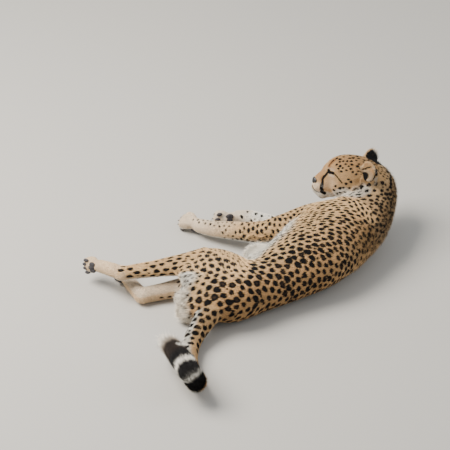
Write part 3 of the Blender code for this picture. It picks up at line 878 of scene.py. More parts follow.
# %% Plan of the spots
# Sizes and spacings here are in millimetres, turns in degrees.
TAIL_POINT = 0.018  # from the end of the tail's axis to the tip, in metres
SHARES = (0.0, 0.35, 0.6, 1.0)
SIDES = (-1.0, -0.4, 0.2, 0.8)
TRUNK_PLAN = (
    # spacing along, for each share along the trunk (rows) and side (columns)
    ((24, 26, 26, 24), (25, 27, 25, 18), (26, 29, 27, 16), (26, 29, 28, 17)),
    # spacing across
    ((14, 13, 13, 12), (16, 17, 12, 10), (19, 22, 17, 10), (19, 25, 22, 12)),
    # half length
    ((8.6, 9.8, 9.8, 8.4), (10.4, 11, 9.8, 5.6), (11.4, 12, 10.5, 5.6), (11, 11.5, 10.5, 6)),
    # half width
    ((5.2, 4.7, 4.3, 3.6), (7, 7.2, 4.6, 2.8), (8.2, 10, 7.6, 3.1), (8.2, 10.4, 9.2, 3.8)),
)
LIMB_PLAN = {
    # spacing along, across, half length, half width, turn
    "neck": (26, 22, 7.6, 6.2, 30),
    "foreleg_left": (20, 15, 8.0, 4.8, 80),
    "foreleg_right": (24, 20, 6.0, 4.0, 60),
    "thigh_left": (27, 22, 10.5, 8.4, 10),
    "shank_left": (27, 15, 9.5, 4.8, 4),
    "foot_left": (30, 26, 3.0, 2.0, 0),
    "thigh_right": (25, 18, 7.0, 5.0, 10),
    "shank_right": (24, 17, 7.0, 4.2, 0),
    "foot_right": (30, 26, 3.0, 2.0, 0),
    "tail": (23, 21, 9.6, 7.6, 75),
    "head": (12, 10, 3.9, 3.1, 0),
}
RING_ZONE_PLAN = (19, 17, 8.0, 4.2, 90)
WRIST_PLAN = (15, 13, 4.2, 3.2, 80)
KNEE_PLAN = (19, 12, 6.4, 3.4, 10)
NAPE_PLAN = (18, 14, 8.2, 6.0, 60)
TAIL_RINGS = (
    # from the tip: end of each band, and 1 for black
    (72, 0), (182, 1), (206, 0), (232, 1), (243, 0), (255, 1), (264, 0), (272, 1),
)


def plan_at(place):
    share, side = trunk_share(place), place["side"]
    columns = []
    for table in TRUNK_PLAN:
        rows = np.stack([np.interp(side, SIDES, row) for row in table], axis=1)
        level = np.interp(share, SHARES, range(len(SHARES)))
        low = np.minimum(level.astype(int), len(SHARES) - 2)
        part = level - low
        index = np.arange(len(side))
        columns.append(rows[index, low] * (1 - part) + rows[index, low + 1] * part)
    turn = np.interp(side, *zip(*SPOT_TURN)) * (1 - 0.5 * blend_step(0.6, 0.9, share))
    plan = np.stack(columns + [turn], axis=1)
    for name, row in LIMB_PLAN.items():
        plan[is_limb(place["limb"], name)] = row
    for name, zone, row in (
        ("tail", tail_left(place) < 0.47, RING_ZONE_PLAN),
        ("foreleg_left", place["points"][:, 1] > 0.25, WRIST_PLAN),
        ("thigh_left", side > 0.2, KNEE_PLAN),
        ("neck", side < -0.35, NAPE_PLAN),
    ):
        plan[is_limb(place["limb"], name) & zone] = row
    return plan


def tail_left(place):
    """Length of tail that is left, in metres, for points on the tail."""
    return TAIL_LENGTH + TAIL_POINT - place["along"]


FOREARM_TOP = np.array((0.45, 0.0, 0.89))  # small spots reach the wrist on this side


def spotless(place):
    """How far a place keeps free of spots, from 0 to 1."""
    points, head, side, limb = place["points"], place["head"], place["side"], place["limb"]
    x, y = points[:, 0], points[:, 1]
    topside = blend_step(0.45, 0.75, place["normals"] @ FOREARM_TOP) * fade_out(0.38, 0.43, y)
    near = distance_to(head, (0.02, 0, 0)) < 0.13
    crown = (head[:, 2] > 0.036) & (head[:, 0] < 0.045)
    bare = np.zeros(len(points))
    for zone, value in (
        (is_limb(limb, "foreleg_left"), blend_step(0.225, 0.300, y) * (1 - 0.8 * topside)),
        (is_limb(limb, "foreleg_right"), blend_step(0.30, 0.36, y)),
        (is_limb(limb, "foot_left", "foot_right"), 1.0),
        (is_limb(limb, "shank_left"), blend_step(-0.630, -0.665, x)),
        (is_limb(limb, "shank_right"), np.maximum(blend_step(-0.53, -0.575, x), 0.35)),
        (is_limb(limb, "trunk", "neck"), blend_step(0.95, 1.05, side) * 0.8),
        (is_limb(limb, "tail") & (tail_left(place) < TAIL_RINGS[-1][0] / 1000 + 0.010), 1.0),
        (near & is_limb(limb, "head") & ~crown, 1.0),
    ):
        bare = np.where(zone, value, bare)
    bare = np.maximum(bare, fade_out(0.9, 1.3, distance_to(points, SCROTUM[0]) / 0.04))
    return np.maximum(bare, fade_out(0.8, 1.2, distance_to(points, REAR_FLUFF[0]) / 0.055))


print("plan rows:", len(LIMB_PLAN) + len(TRUNK_PLAN) * len(SHARES))

# %% Scatter the spots
SPOT_TRIES = 60000
SPOT_SEED = 11
SPOT_CELL = 0.032  # size of the cells in which neighbours are looked for
SPOT_PACK = 0.91  # share of the wanted spacing that two spots must keep at first
SPOT_LIFT = 12  # spots this far apart along the normal don't meet


def scatter(points, triangles, count, rng, weight=None):
    """Random places on the skin, evenly by area or by a weight for each triangle."""
    corners = points[triangles]
    area = np.linalg.norm(np.cross(corners[:, 1] - corners[:, 0], corners[:, 2] - corners[:, 0]), axis=1)
    chance = area if weight is None else area * weight
    sums = np.cumsum(chance)
    pick = np.searchsorted(sums, rng.random(count) * sums[-1])
    pick = np.minimum(pick, len(triangles) - 1)
    a, b = rng.random(count), rng.random(count)
    fold = a + b > 1
    a, b = np.where(fold, 1 - a, a), np.where(fold, 1 - b, b)
    return pick, np.stack((1 - a - b, a, b), axis=1)


def mix_corners(values, triangles, pick, shares):
    corners = values[triangles[pick]]
    return (corners * shares[:, :, None]).sum(axis=1)


def cells_around(i):
    """Spots that are already set down in the cells round one place."""
    x, y, z = cells[i]
    return [j for dx in (-1, 0, 1) for dy in (-1, 0, 1) for dz in (-1, 0, 1)
            for j in grid.get((x + dx, y + dy, z + dz), ())]


def own_reach(i, gap):
    """Squares of the gaps to other spots, as shares of the spacing wanted at one place."""
    return ((gap @ spot_way[i]) / plan[i, 0]) ** 2 + ((gap @ spot_across[i]) / plan[i, 1]) ** 2


def flatten(way, normals):
    """Directions laid into the surface."""
    return unit(way - normals * dot(way, normals)[:, None])


skin.data.calc_loop_triangles()
skin_triangles = read(skin.data.loop_triangles, "vertices", 3, np.int64)
rng = np.random.default_rng(SPOT_SEED)
pick, shares = scatter(skin_points, skin_triangles, SPOT_TRIES, rng)
tried = mix_corners(skin_points, skin_triangles, pick, shares)
tried_normals = unit(mix_corners(skin_normals, skin_triangles, pick, shares))
tried_place = body_places(tried, tried_normals)
plan = plan_at(tried_place)
keep = rng.random(SPOT_TRIES) > spotless(tried_place)
keep &= tried[:, 2] > FLOOR_LEVEL + 0.001
spot_way = flatten(turned(tried_place, plan[:, 4]), tried_normals)
spot_across = np.cross(tried_normals, spot_way)
grid = {}
chosen = []
cells = np.floor(tried / SPOT_CELL).astype(int)
for i in np.flatnonzero(keep):
    near = cells_around(i)
    if near:
        gap = tried[near] - tried[i]
        reach = own_reach(i, gap) + ((gap @ tried_normals[i]) / SPOT_LIFT) ** 2
        back = (dot(gap, spot_way[near]) / plan[near, 0]) ** 2 + (dot(gap, spot_across[near]) / plan[near, 1]) ** 2
        if min(reach.min(), back.min()) * 1e6 < SPOT_PACK**2:
            continue
    grid.setdefault(tuple(cells[i]), []).append(i)
    chosen.append(i)
print("body spots:", len(chosen))

# %% Even out the gaps between the spots
EVEN_STEPS = 26
EVEN_REACH = 1.22  # spots push one another apart up to this share of their spacing
EVEN_PUSH = 0.22  # share of the overlap that one step takes away
EVEN_FAR = 0.025  # spots further apart than this through the body don't meet

def tree_of(points):
    tree = KDTree(len(points))
    for i, p in enumerate(points):
        tree.insert(p, i)
    tree.balance()
    return tree


skin_tree = tree_of(skin_points)
spots = np.array(chosen)
at, out = tried[spots], tried_normals[spots]
for _ in range(EVEN_STEPS):
    gap = at[:, None] - at[None]
    along = (gap * spot_way[spots][:, None]).sum(axis=2) * 1000 / plan[spots, 0, None]
    wide = (gap * spot_across[spots][:, None]).sum(axis=2) * 1000 / plan[spots, 1, None]
    reach = np.sqrt(along**2 + wide**2) + np.eye(len(spots)) * 9 + 1e-6
    push = np.clip(EVEN_REACH - reach, 0, None) / reach
    push[np.abs((gap * out[:, None]).sum(axis=2)) > EVEN_FAR] = 0
    for values, way, column in ((along, spot_way, 0), (wide, spot_across, 1)):
        step = (push * values).sum(axis=1) * plan[spots, column] / 1000
        at = at + EVEN_PUSH * step[:, None] * way[spots]
    index = [skin_tree.find(p)[1] for p in at]
    out = skin_normals[index]
    at = at - out * dot(at - skin_points[index], out)[:, None]
tried[spots], tried_normals[spots] = at, out
cells[spots] = np.floor(at / SPOT_CELL).astype(int)
spot_way[spots] = flatten(spot_way[spots], out)
spot_across[spots] = np.cross(out, spot_way[spots])
grid = {}
for i in spots:
    grid.setdefault(tuple(cells[i]), []).append(i)
print("evened out in steps:", EVEN_STEPS)

# %% Small spots in the gaps, and the shape of each spot
SMALL_TRIES = 16000
SMALL_GAP = 0.68  # share of the wanted spacing that a small spot keeps
SMALL_CHANCE = 0.25
SMALL_SIZE = 0.42
SPOT_GROWTH = 1.02
SIZE_SPREAD = 0.20
OPEN_CHANCE = 0.4  # large spots that have a brown centre
OPEN_FROM = 6.8  # mm of half width

small = []
for i in np.flatnonzero(keep)[:SMALL_TRIES]:
    near = cells_around(i)
    if not near:
        continue
    reach = own_reach(i, tried[near] - tried[i])
    if reach.min() * 1e6 > SMALL_GAP**2 and rng.random() < SMALL_CHANCE:
        grid.setdefault(tuple(cells[i]), []).append(i)
        small.append(i)
picked = np.array(chosen + small)
growth = np.where(np.arange(len(picked)) < len(chosen), 1.0, SMALL_SIZE)
growth = SPOT_GROWTH * growth * (1 + SIZE_SPREAD * (rng.random(len(picked)) * 2 - 1))
half_width = plan[picked, 3] * growth
# at, way, across, out, half length, half width, wobble phase, open centre
spot_rows = np.column_stack((
    tried[picked], spot_way[picked], spot_across[picked], tried_normals[picked],
    plan[picked, 2] * growth / 1000, half_width / 1000,
    rng.random(len(picked)) * 2 * math.pi, (rng.random(len(picked)) < OPEN_CHANCE) & (half_width > OPEN_FROM),
))
print("small spots:", len(small))

# %% [markdown]
# ## Marks of the face
# The face is what tells a cheetah from every other cat: a black tear line runs from the inner
# corner of each eye to the mouth, a thin line and rows of dots run back from the outer corner,
# and small dots in rows cover the crown. These are placed one by one in the head's frame,
# once for the left side, and mirrored.

# %% Dots and lines of the face
CHEEK_DOTS = tenths((
    (452, 597, -168), (477, 563, -339), (288, 652, -202), (171, 656, -170), (-34, 626, -162), (242, 637, -355),
    (88, 670, -320), (212, 668, -559), (47, 600, 138), (-62, 619, 59), (340, 600, -450), (110, 640, -20),
    (-60, 980, -270), (-130, 1150, -280), (-270, 1080, -230), (100, 830, -420),
))
CROWN_DOTS = tenths((
    (436, 189, 674), (496, 335, 521), (299, 284, 662), (168, 295, 685), (95, 179, 760), (-25, 172, 770),
    (24, 305, 697), (-131, 273, 722), (-207, 154, 771), (-406, 146, 747), (202, 385, 594), (110, 439, 549),
    (-251, 359, 654), (-389, 256, 704), (-201, 436, 582), (-309, 482, 550), (-530, 81, 731), (-567, 7, 724),
    (-2, 400, 617), (163, 502, 422), (520, 120, 650), (300, 100, 740), (380, 400, 500), (-150, 30, 780),
))
DOT_HALF = (0.0048, 0.0038)
DOT_SPREAD = 0.25
DOT_CLEAR = 0.0105  # scattered spots stay this far from placed dots
BROW_LINE = tenths(((620, 148, 594), (673, 165, 540), (736, 232, 399)))
EAR_EDGE = tenths(((-380, 512, 532), (-534, 566, 638), (-663, 767, 750)))
FACE_LINES = (
    # half width in mm, and the path; the ear's edge comes last
    (5.6, tenths(((762, 295, 250), (737, 307, 243), (693, 341, 231), (648, 371, 227), (574, 415, 228)))),  # lids
    (4.3, tenths(((745, 302, 245), (814, 285, 96), (885, 239, -8), (907, 246, -113), (900, 263, -209),
                  (895, 281, -306), (894, 293, -380)))),  # tear line
    (2.3, tenths(((574, 415, 228), (493, 461, 178), (381, 523, 87), (241, 612, -28)))),  # back from the eye
    (6.4, tenths(((900, 285, -300), (912, 300, -400), (885, 270, -500), (850, 240, -560),
                  (780, 290, -590)))),  # corner of the mouth
    (2.0, tenths(((1160, 30, -460), (1100, 140, -570), (1010, 190, -610), (921, 240, -570),
                  (860, 260, -540)))),  # lip
    (1.7, BROW_LINE),
    (1.8, tenths(((-440, 680, 80), (-330, 670, -80), (-300, 660, -220)))),  # painted shade in the crease in front of the ear
    (7.6, tenths(((745, 302, 245), (700, 335, 232)))),  # inner corner of the eye
    (3.0, tenths(((620, 148, 594), (660, 160, 555)))),  # top of the brow
    (2.4, EAR_EDGE),
)
WHISKER_ROWS = tuple(
    (0.1075 - 0.0062 * column, 0.0190 + 0.0018 * column, -0.0330 - 0.0052 * row - 0.0006 * column)
    for row in range(4) for column in range(4)
)
PALE_EYE = tenths((((738, 269, 334), (588, 389, 319)), ((700, 370, 130), (560, 440, 120))))


def both_sides(head):
    return head * np.array((1, 0, 1)) + np.abs(head) * np.array((0, 1, 0))


def on_skin(places):
    """Nearest skin points and normals to places in the head's frame, on both sides."""
    both = [p for x, y, z in places for p in ((x, y, z), (x, -y, z))]
    world = [HEAD_FRAME @ Vector(p) for p in both]
    index = [skin_tree.find(p)[1] for p in world]
    return skin_points[index], skin_normals[index]


LINE_STEPS = 5


def laid_on_skin(path):
    """A path of the face with points in between, each moved to the nearest skin."""
    steps = [tuple(np.array(a) + (np.array(b) - a) * k / LINE_STEPS)
             for a, b in zip(path, path[1:]) for k in range(LINE_STEPS)]
    return both_sides(to_head(on_skin(steps + [path[-1]])[0][::2]))


face_lines = [(laid_on_skin(path), half) for half, path in FACE_LINES]
dot_at, dot_out = on_skin(CHEEK_DOTS + CROWN_DOTS)
clear = [min(distance_to(dot_at, row[:3])) > DOT_CLEAR for row in spot_rows]
spot_rows = spot_rows[clear]
dot_place = body_places(dot_at, dot_out)
dot_way = dot_place["flat"]
count = len(dot_at)
dot_size = 1 + DOT_SPREAD * (rng.random(count) * 2 - 1)
spot_rows = np.vstack((spot_rows, np.column_stack((
    dot_at, dot_way, np.cross(dot_out, dot_way), dot_out, DOT_HALF[0] * dot_size, DOT_HALF[1] * dot_size,
    rng.random(count) * 2 * math.pi, np.zeros(count),
))))
print("spots with the face:", len(spot_rows))

# %% How deep a point lies in the nearest spot
SPOT_NEIGHBOURS = 4
SPOT_WOBBLE = ((2, 0.06), (3, 0.07), (5, 0.03))
FAR = -12.0  # mm, outside every spot
SPOT_HEIGHT = 9  # mm off the skin within which a spot still colours
SPOT_SPREAD = 0.6  # mm by which black hair reaches past a spot's edge

spot_tree = tree_of(spot_rows[:, :3])


def spot_depth(points):
    """Signed depth inside the spots in mm, and how much of an open centre shows."""
    near = np.empty((len(points), SPOT_NEIGHBOURS), dtype=int)
    for i, p in enumerate(points):
        near[i] = [found[1] for found in spot_tree.find_n(p, SPOT_NEIGHBOURS)]
    best = np.full(len(points), FAR)
    open_centre = np.zeros(len(points))
    for column in range(SPOT_NEIGHBOURS):
        row = spot_rows[near[:, column]]
        half_length, half_width, phase, opens = row[:, 12:].T
        gap = points - row[:, :3]
        along, across, out = dot(gap, row[:, 3:6]), dot(gap, row[:, 6:9]), dot(gap, row[:, 9:12])
        angle = np.arctan2(across / half_width, along / half_length)
        wobble = 1 + sum(size * np.sin(times * angle + phase * times) for times, size in SPOT_WOBBLE)
        reach = np.sqrt((along / half_length) ** 2 + (across / half_width) ** 2) * wobble
        depth = (1 - reach) * np.sqrt(half_length * half_width) * 1000
        depth = depth - np.maximum(np.abs(out) * 1000 - SPOT_HEIGHT, 0)
        open_centre = np.where(depth > best, opens * fade_out(0.15, 0.5, reach), open_centre)
        best = np.maximum(best, depth)
    return np.maximum(best + SPOT_SPREAD, FAR), open_centre


print("spot neighbours:", SPOT_NEIGHBOURS)

# %% Ears in the head's frame
EAR_AXIS = np.array(EAR_TIP) - np.array(EAR_ROOT)


def ear_zone(head, normals_head):
    """Share of the ear's length, distance from its axis, and how far the skin faces its opening."""
    flip = np.ones((len(head), 3))
    flip[:, 1] = np.where(head[:, 1] < 0, -1.0, 1.0)
    facing = normals_head * flip
    gap = head * flip - np.array(EAR_ROOT)
    share = gap @ EAR_AXIS / (EAR_AXIS @ EAR_AXIS)
    away = np.sqrt(((gap - share[:, None] * EAR_AXIS) ** 2).sum(axis=1))
    return share, away, facing @ unit(np.array(EAR_OPENS))


def head_directions(vectors):
    return vectors @ np.array(HEAD_FRAME.to_3x3())


print("ear length:", round(float(np.linalg.norm(EAR_AXIS)), 3))

# %% Where ears, legs and tail change colour
FACE_MIDDLE = (0.01, 0.03, 0)  # middle of one side of the face, in the head's frame
EAR_START = 0.12  # share of the ear's length from which it counts as ear
EAR_REACH = 0.05


def on_the_ear(head, limb, share, away):
    return (share > EAR_START) & (away < EAR_REACH) & (head[:, 0] < -0.02) & is_limb(limb, "head", "neck")


def limb_inside(place):
    """How far a point lies on the inner side of its leg."""
    height = (place["points"][:, 2] - place["centre"][:, 2]) / place["size"]
    right = is_limb(place["limb"], "foreleg_right", "shank_right", "thigh_right", "foot_right")
    return np.where(right, height, -height)


EAR_HOLLOW_SHADE = ((-0.050, 0.062, 0.033), 0.016)  # painted shade in the hollow of the ear, black: centre in the head's frame, and its radius
EAR_BLACK = 0.86  # share of the ear's back up to which it is black
RUFF = metres(((172, 128, 166), (174, 108, 176), (178, 78, 192), (200, 58, 199), (226, 60, 206)))
LEGS = [name for name in LIMBS if any(part in name for part in ("leg", "thigh", "shank", "foot"))]
TAIL_PALE = ((420, 640), (-0.60, -0.05))  # from the tip in mm, and the side where the pale underside starts
TAIL_BROWN = (60, 140)  # from the tip in mm, as all that follows
TAIL_TIP_GREY = (40, 0.12)  # end of the white tip, and how grey it is
TAIL_SMOKE = (52, 85, 0.8)  # where white turns to black
TAIL_GAP = (100, 118)  # a paler patch on the underside
print("legs:", LEGS)


# %% Colour of trunk, legs and tail
def colour_body(place, marks):
    """Tan above and cream below, and the inner sides of the legs cream."""
    limb, side = place["limb"], place["side"]
    x, y, z = place["points"].T
    trunk, right = is_limb(limb, "trunk", "neck"), is_limb(limb, "foreleg_right")
    shoulder = blend_step(-0.12, 0.02, x) * (z > 0.03)
    cream = np.where(trunk, blend_step(0.38 + 0.42 * shoulder, 0.82 + 0.38 * shoulder, side), 0.0)
    marks["tone"] = np.where(trunk, fade_out(-0.95, 0.15, side) * (1 - 0.35 * shoulder), 0.25)
    cream = np.where(is_limb(limb, *LEGS), blend_step(0.1, 0.75, limb_inside(place)), cream)
    cream = np.where(is_limb(limb, "foreleg_left"), np.maximum(cream, 0.45 * blend_step(0.20, 0.36, y)), cream)
    cream = np.where(right, np.maximum(cream, 0.55 + 0.35 * blend_step(0.16, 0.24, y)), cream)
    cream = np.where(right, cream - 0.4 * blend_step(0.32, 0.37, y), cream)
    cream = np.where(is_limb(limb, "shank_right", "foot_right"), np.clip(cream, 0.2, 0.5), cream)
    marks["cream"] = np.where(is_limb(limb, "foot_left"), np.maximum(cream, 0.25), cream)


def colour_tail(place, marks):
    """Spots give way to black rings, and the tip is white."""
    tail, side, end = is_limb(place["limb"], "tail"), place["side"], tail_left(place) * 1000
    pale_from = np.interp(end, *TAIL_PALE)
    cream = np.where(tail, blend_step(pale_from, pale_from + 0.5, side), marks["cream"])
    marks["tone"] = np.where(tail, 0.4, marks["tone"])
    band = np.full(len(end), FAR)
    start = 0
    for stop, dark in TAIL_RINGS:
        if dark:
            band = np.maximum(band, np.minimum(end - start, stop - end) + 4)
        start = stop
    rings = tail & (end < TAIL_RINGS[-1][0] + 6)

    def between(low, high):
        return rings & (end > low) & (end < high)

    marks["cream"] = np.where(rings, 1.0, cream)
    marks["brown"] = np.where(between(*TAIL_BROWN), 0.25, 0.0)
    grey = np.where(rings & (end < TAIL_TIP_GREY[0]), TAIL_TIP_GREY[1], 0.0)
    marks["grey"] = np.where(between(*TAIL_SMOKE[:2]), TAIL_SMOKE[2], grey)
    black = np.where(rings, band, marks["black"])
    marks["black"] = np.where(between(*TAIL_GAP) & (side > 0.1), -1.5, black)


def colour_fluff(place, marks):
    """Pale loose hair on the rear and the belly, in which spots fade."""
    points = place["points"]
    x, y, z = points.T
    ripple = 1 + 0.16 * np.sin(y * 150 + 2 * np.sin(z * 130)) * np.sin(x * 170)
    rear = fade_out(0.65, 1.35, distance_to(points, REAR_FLUFF[0]) / 0.057 * ripple)
    rear = np.maximum(rear, fade_out(0.8, 1.3, distance_to(points, SCROTUM[0]) / 0.042))
    mottle = blend_step(0.1, 0.7, np.sin(x * 310 + 3 * np.sin(y * 190)) * np.sin(z * 260 + y * 90))
    fluff = fade_out(0.8, 1.3, distance_to(points, BELLY_FLUFF[0]) / 0.06)
    marks["cream"] = np.maximum(np.maximum(marks["cream"], 0.86 * rear), fluff)
    marks["grey"] = np.maximum(marks["grey"], 0.85 * rear * mottle)
    marks["black"] = marks["black"] - 5 * fluff - 3 * blend_step(0.4, 1.0, rear)


print("tail rings:", len(TAIL_RINGS))

# %% Colour of the face and ears
PALE_FACE = (
    # how pale, a place or a path in the head's frame, and from where to where it fades
    (0.6, ((-0.030, 0.066, -0.025),), 0.012, 0.026),
    (0.38, PALE_EYE[0], 0.001, 0.009),
    (0.38, PALE_EYE[1], 0.001, 0.009),
    (0.18, ((0.060, 0.045, -0.02),), 0.010, 0.04),
)


def colour_face(head, face, marks):
    """Pale muzzle, chin and eye rims, rust on the brow and the bridge of the nose."""
    x, _, z = head.T
    muzzle = blend_step(0.070, 0.092, x) * fade_out(-0.034, -0.020, z)
    pale = np.maximum(0.35 * muzzle, 0.92 * fade_out(-0.062, -0.046, z))
    for share, path, low, high in PALE_FACE:
        pale = np.maximum(pale, share * fade_out(low, high, path_distance(head, path)))
    marks["cream"] = np.where(face, pale, marks["cream"])
    marks["tone"] = np.where(face, 0.52 + 0.40 * blend_step(0.035, 0.065, z), marks["tone"])
    rust = np.where(face, 0.75 * fade_out(0.004, 0.012, path_distance(head, BROW_LINE)), 0.0)
    nose_top = blend_step(0.075, 0.100, x) * blend_step(-0.030, -0.010, z)
    marks["rust"] = np.maximum(rust, np.where(face, 0.45 * nose_top, 0.0))


def face_black(head, near, black):
    """The lines of the face and the dots that the whiskers grow from."""
    for path, half in face_lines:
        black[near] = np.maximum(black[near], half - 1000 * path_distance(head[near], path))
    for dot_place in WHISKER_ROWS:
        black[near] = np.maximum(black[near], 0.7 - 1000 * distance_to(head[near], dot_place))


def markings(place):
    """Values of the coat: black, cream, tone towards the spine, rust, grey, open centres."""
    limb, head = place["limb"], both_sides(place["head"])
    near = distance_to(head, FACE_MIDDLE) < 0.16
    black, opened = spot_depth(place["points"])
    face_black(head, near, black)
    share, away, facing = ear_zone(place["head"], head_directions(place["normals"]))
    ear = near & on_the_ear(head, limb, share, away)
    ear_back, ear_in = ear & (facing < -0.05), ear & (facing > 0.05)
    rim_path, rim_half = face_lines[-1]
    rim = rim_half - 1000 * path_distance(head, rim_path)
    # painted shade: black in the hollow of the ear
    hollow = np.minimum(1000 * (EAR_HOLLOW_SHADE[1] - distance_to(head, EAR_HOLLOW_SHADE[0])), 4)
    black = np.where(ear_back, np.minimum(14 * (EAR_BLACK - share), 4), black)
    marks = {"black": np.where(ear_in, np.maximum(rim, hollow), black)}
    colour_body(place, marks)
    colour_tail(place, marks)
    colour_fluff(place, marks)
    colour_face(head, near & is_limb(limb, "head") & ~ear, marks)
    upper = blend_step(0.050, 0.062, head[:, 2])
    cream = np.where(ear_in, (0.18 + 0.22 * blend_step(0.018, 0.032, away)) * (1 - 0.8 * upper), marks["cream"])
    # painted shade: the lower inside of the ear greyed
    grey = np.where(ear_in, 0.35 * (1 - upper), marks["grey"])
    cream = np.where(ear_back & (share > 0.80), 0.9, cream)
    ruff = fade_out(0.017, 0.034, path_distance(place["points"], RUFF))
    neck = is_limb(limb, "neck")
    return {
        "black": marks["black"], "open": np.maximum(opened, marks["brown"]),
        "cream": np.where(ear_in | ear_back, cream, np.maximum(cream, 0.85 * ruff)),
        "tone": np.where(neck, 0.06 + marks["tone"] * 0.75, marks["tone"]),
        "rust": marks["rust"], "grey": np.where(neck & ~ear, 0.24, grey),
    }


skin_marks = markings(skin_place)


def add_marks(mesh, marks):
    for name, values in marks.items():
        layer = mesh.attributes.new(name, "FLOAT", "POINT")
        layer.data.foreach_set("value", np.asarray(values, dtype=np.float32))


add_marks(skin.data, skin_marks)
print("black share of the skin:", round(float((skin_marks["black"] > 0).mean()), 3))

# %% [markdown]
# ## Colours of the coat
# Every hair of a cheetah is tan, cream or black, with little in between, but hairs of each kind
# mix at the edges. One node group reads the markings stored on skin and tufts, breaks their
# edges up with fine noise, and puts out the colour. Skin and hair use the same group, so a gap
# between tufts never shows.

# %% Coat colour as a node group
def linear(red, green, blue):
    """A colour named from 0 to 255, as the linear values that shaders need."""
    return tuple(((c / 255 + 0.055) / 1.055) ** 2.4 if c > 10 else c / 3294.6 for c in (red, green, blue)) + (1.0,)


TAN = linear(245, 206, 152)
SPINE = linear(220, 174, 120)
CREAM = linear(250, 243, 229)
RUST = linear(176, 116, 66)
GREY = linear(156, 138, 118)
BLACK = linear(19, 16, 15)
OPEN = linear(92, 66, 44)


class Nodes:
    """Short way to add nodes to a tree and join them."""

    def __init__(self, tree):
        self.tree = tree

    def add(self, kind, values=(), **settings):
        node = self.tree.nodes.new(kind)
        for key, value in settings.items():
            setattr(node, key, value)
        for key, value in dict(values).items():
            if isinstance(value, bpy.types.NodeSocket):
                self.tree.links.new(value, node.inputs[key])
            else:
                node.inputs[key].default_value = value
        return node

    def mark(self, name):
        return self.add("ShaderNodeAttribute", attribute_name=name).outputs["Fac"]

    def math(self, operation, a, b=0.0, c=0.0):
        return self.add("ShaderNodeMath", {0: a, 1: b, 2: c}, operation=operation).outputs[0]

    def step(self, value, low, high, out_low=0.0, out_high=1.0):
        found = self.add("ShaderNodeMapRange", {"Value": value, "From Min": low, "From Max": high,
                                                "To Min": out_low, "To Max": out_high})
        return found.outputs["Result"]

    def noise(self, scale, **extra):
        place = self.add("ShaderNodeTexCoord").outputs["Object"]
        return self.add("ShaderNodeTexNoise", {"Vector": place, "Scale": scale, **extra}).outputs["Fac"]

    def tinted(self, colour, level):
        """A colour made darker or brighter by a level."""
        grey = self.add("ShaderNodeCombineColor", {0: level, 1: level, 2: level}).outputs[0]
        return self.mix(1.0, colour, grey, "MULTIPLY")

    def mix(self, share, a, b, kind="MIX"):
        node = self.add("ShaderNodeMix", data_type="RGBA", blend_type=kind)
        for socket, value in ((node.inputs[0], share), (node.inputs[6], a), (node.inputs[7], b)):
            if isinstance(value, bpy.types.NodeSocket):
                self.tree.links.new(value, socket)
            else:
                socket.default_value = value
        return node.outputs[2]


def coat_colour_group():
    tree = bpy.data.node_groups.new("coat colour", "ShaderNodeTree")
    for name, value in (("Edge", 0.8), ("Grain", 0.16)):
        tree.interface.new_socket(name, in_out="INPUT", socket_type="NodeSocketFloat").default_value = value
    tree.interface.new_socket("Color", in_out="OUTPUT", socket_type="NodeSocketColor")
    n = Nodes(tree)
    given = n.add("NodeGroupInput")
    fine, broad = n.noise(420.0, Detail=2.0), n.noise(26.0, Detail=2.0)
    colour = TAN
    for mark, target in (("tone", SPINE), ("cream", CREAM), ("rust", RUST), ("grey", GREY)):
        colour = n.mix(n.mark(mark), colour, target)
    ragged = n.math("MULTIPLY_ADD", n.math("SUBTRACT", fine, 0.5), 1.4, n.mark("black"))
    soft = given.outputs["Edge"]
    dark = n.step(ragged, n.math("MULTIPLY", soft, -1.0), soft)
    ink = n.mix(n.math("MULTIPLY", n.mark("open"), 0.7), BLACK, OPEN)
    colour = n.mix(dark, colour, ink)
    grain = n.math("MULTIPLY", n.math("SUBTRACT", fine, 0.5), given.outputs["Grain"])
    patchy = n.math("MULTIPLY_ADD", n.math("SUBTRACT", broad, 0.5), 0.22, 1.0)
    bright = n.math("ADD", patchy, n.math("MULTIPLY", grain, 2.0))
    n.add("NodeGroupOutput", {"Color": n.tinted(colour, bright)})
    return tree


coat_colour = coat_colour_group()
print("coat colour nodes:", len(coat_colour.nodes))

# %% Materials of the skin and the hair
TIP_PAINTED_LIGHT = 1.18  # brightness at a tuft's tip, painted light; towards the root the tuft is darkened as painted shade deep in the coat
OWN_LEVELS = (0.76, 1.18)  # brightness of the darkest and the brightest tuft


def shaded_material(name, colour, roughness):
    """A plain material, with its nodes, its shader and a way to set the shader's inputs."""
    made = plain_material(name, colour, roughness)
    shader = made.node_tree.nodes["Principled BSDF"]

    def give(key, value):
        made.node_tree.links.new(value, shader.inputs[key])

    return made, Nodes(made.node_tree), shader, give


def coat_material(name, roughness, painted_shade=1.0, root=None):
    made, n, shader, give = shaded_material(name, TAN, roughness)
    shader.inputs["Specular IOR Level"].default_value = 0.25
    colour = n.add("ShaderNodeGroup", node_tree=coat_colour).outputs["Color"]
    if root:
        # painted shade and light along each tuft: darkened to the root level at its root, brightened at its tip
        root_shade_to_tip_light = n.step(n.mark("tip"), 0.0, 1.0, root, TIP_PAINTED_LIGHT)
        level = n.math("MULTIPLY", root_shade_to_tip_light, n.step(n.mark("own"), 0.0, 1.0, *OWN_LEVELS))
    else:
        # the skin's colour is darkened by a painted shade level
        level = painted_shade
        bump = n.add("ShaderNodeBump", {"Strength": 0.6, "Distance": 0.0015, "Height": n.noise(650.0, Detail=3.0)})
        give("Normal", bump.outputs["Normal"])
    give("Base Color", n.tinted(colour, level))
    return made


skin.data.materials.clear()
# the skin between the tufts is darkened to 0.72 as painted shade deep in the coat
skin.data.materials.append(coat_material("coat base", 0.85, painted_shade=0.72))
skin.data.shade_smooth()
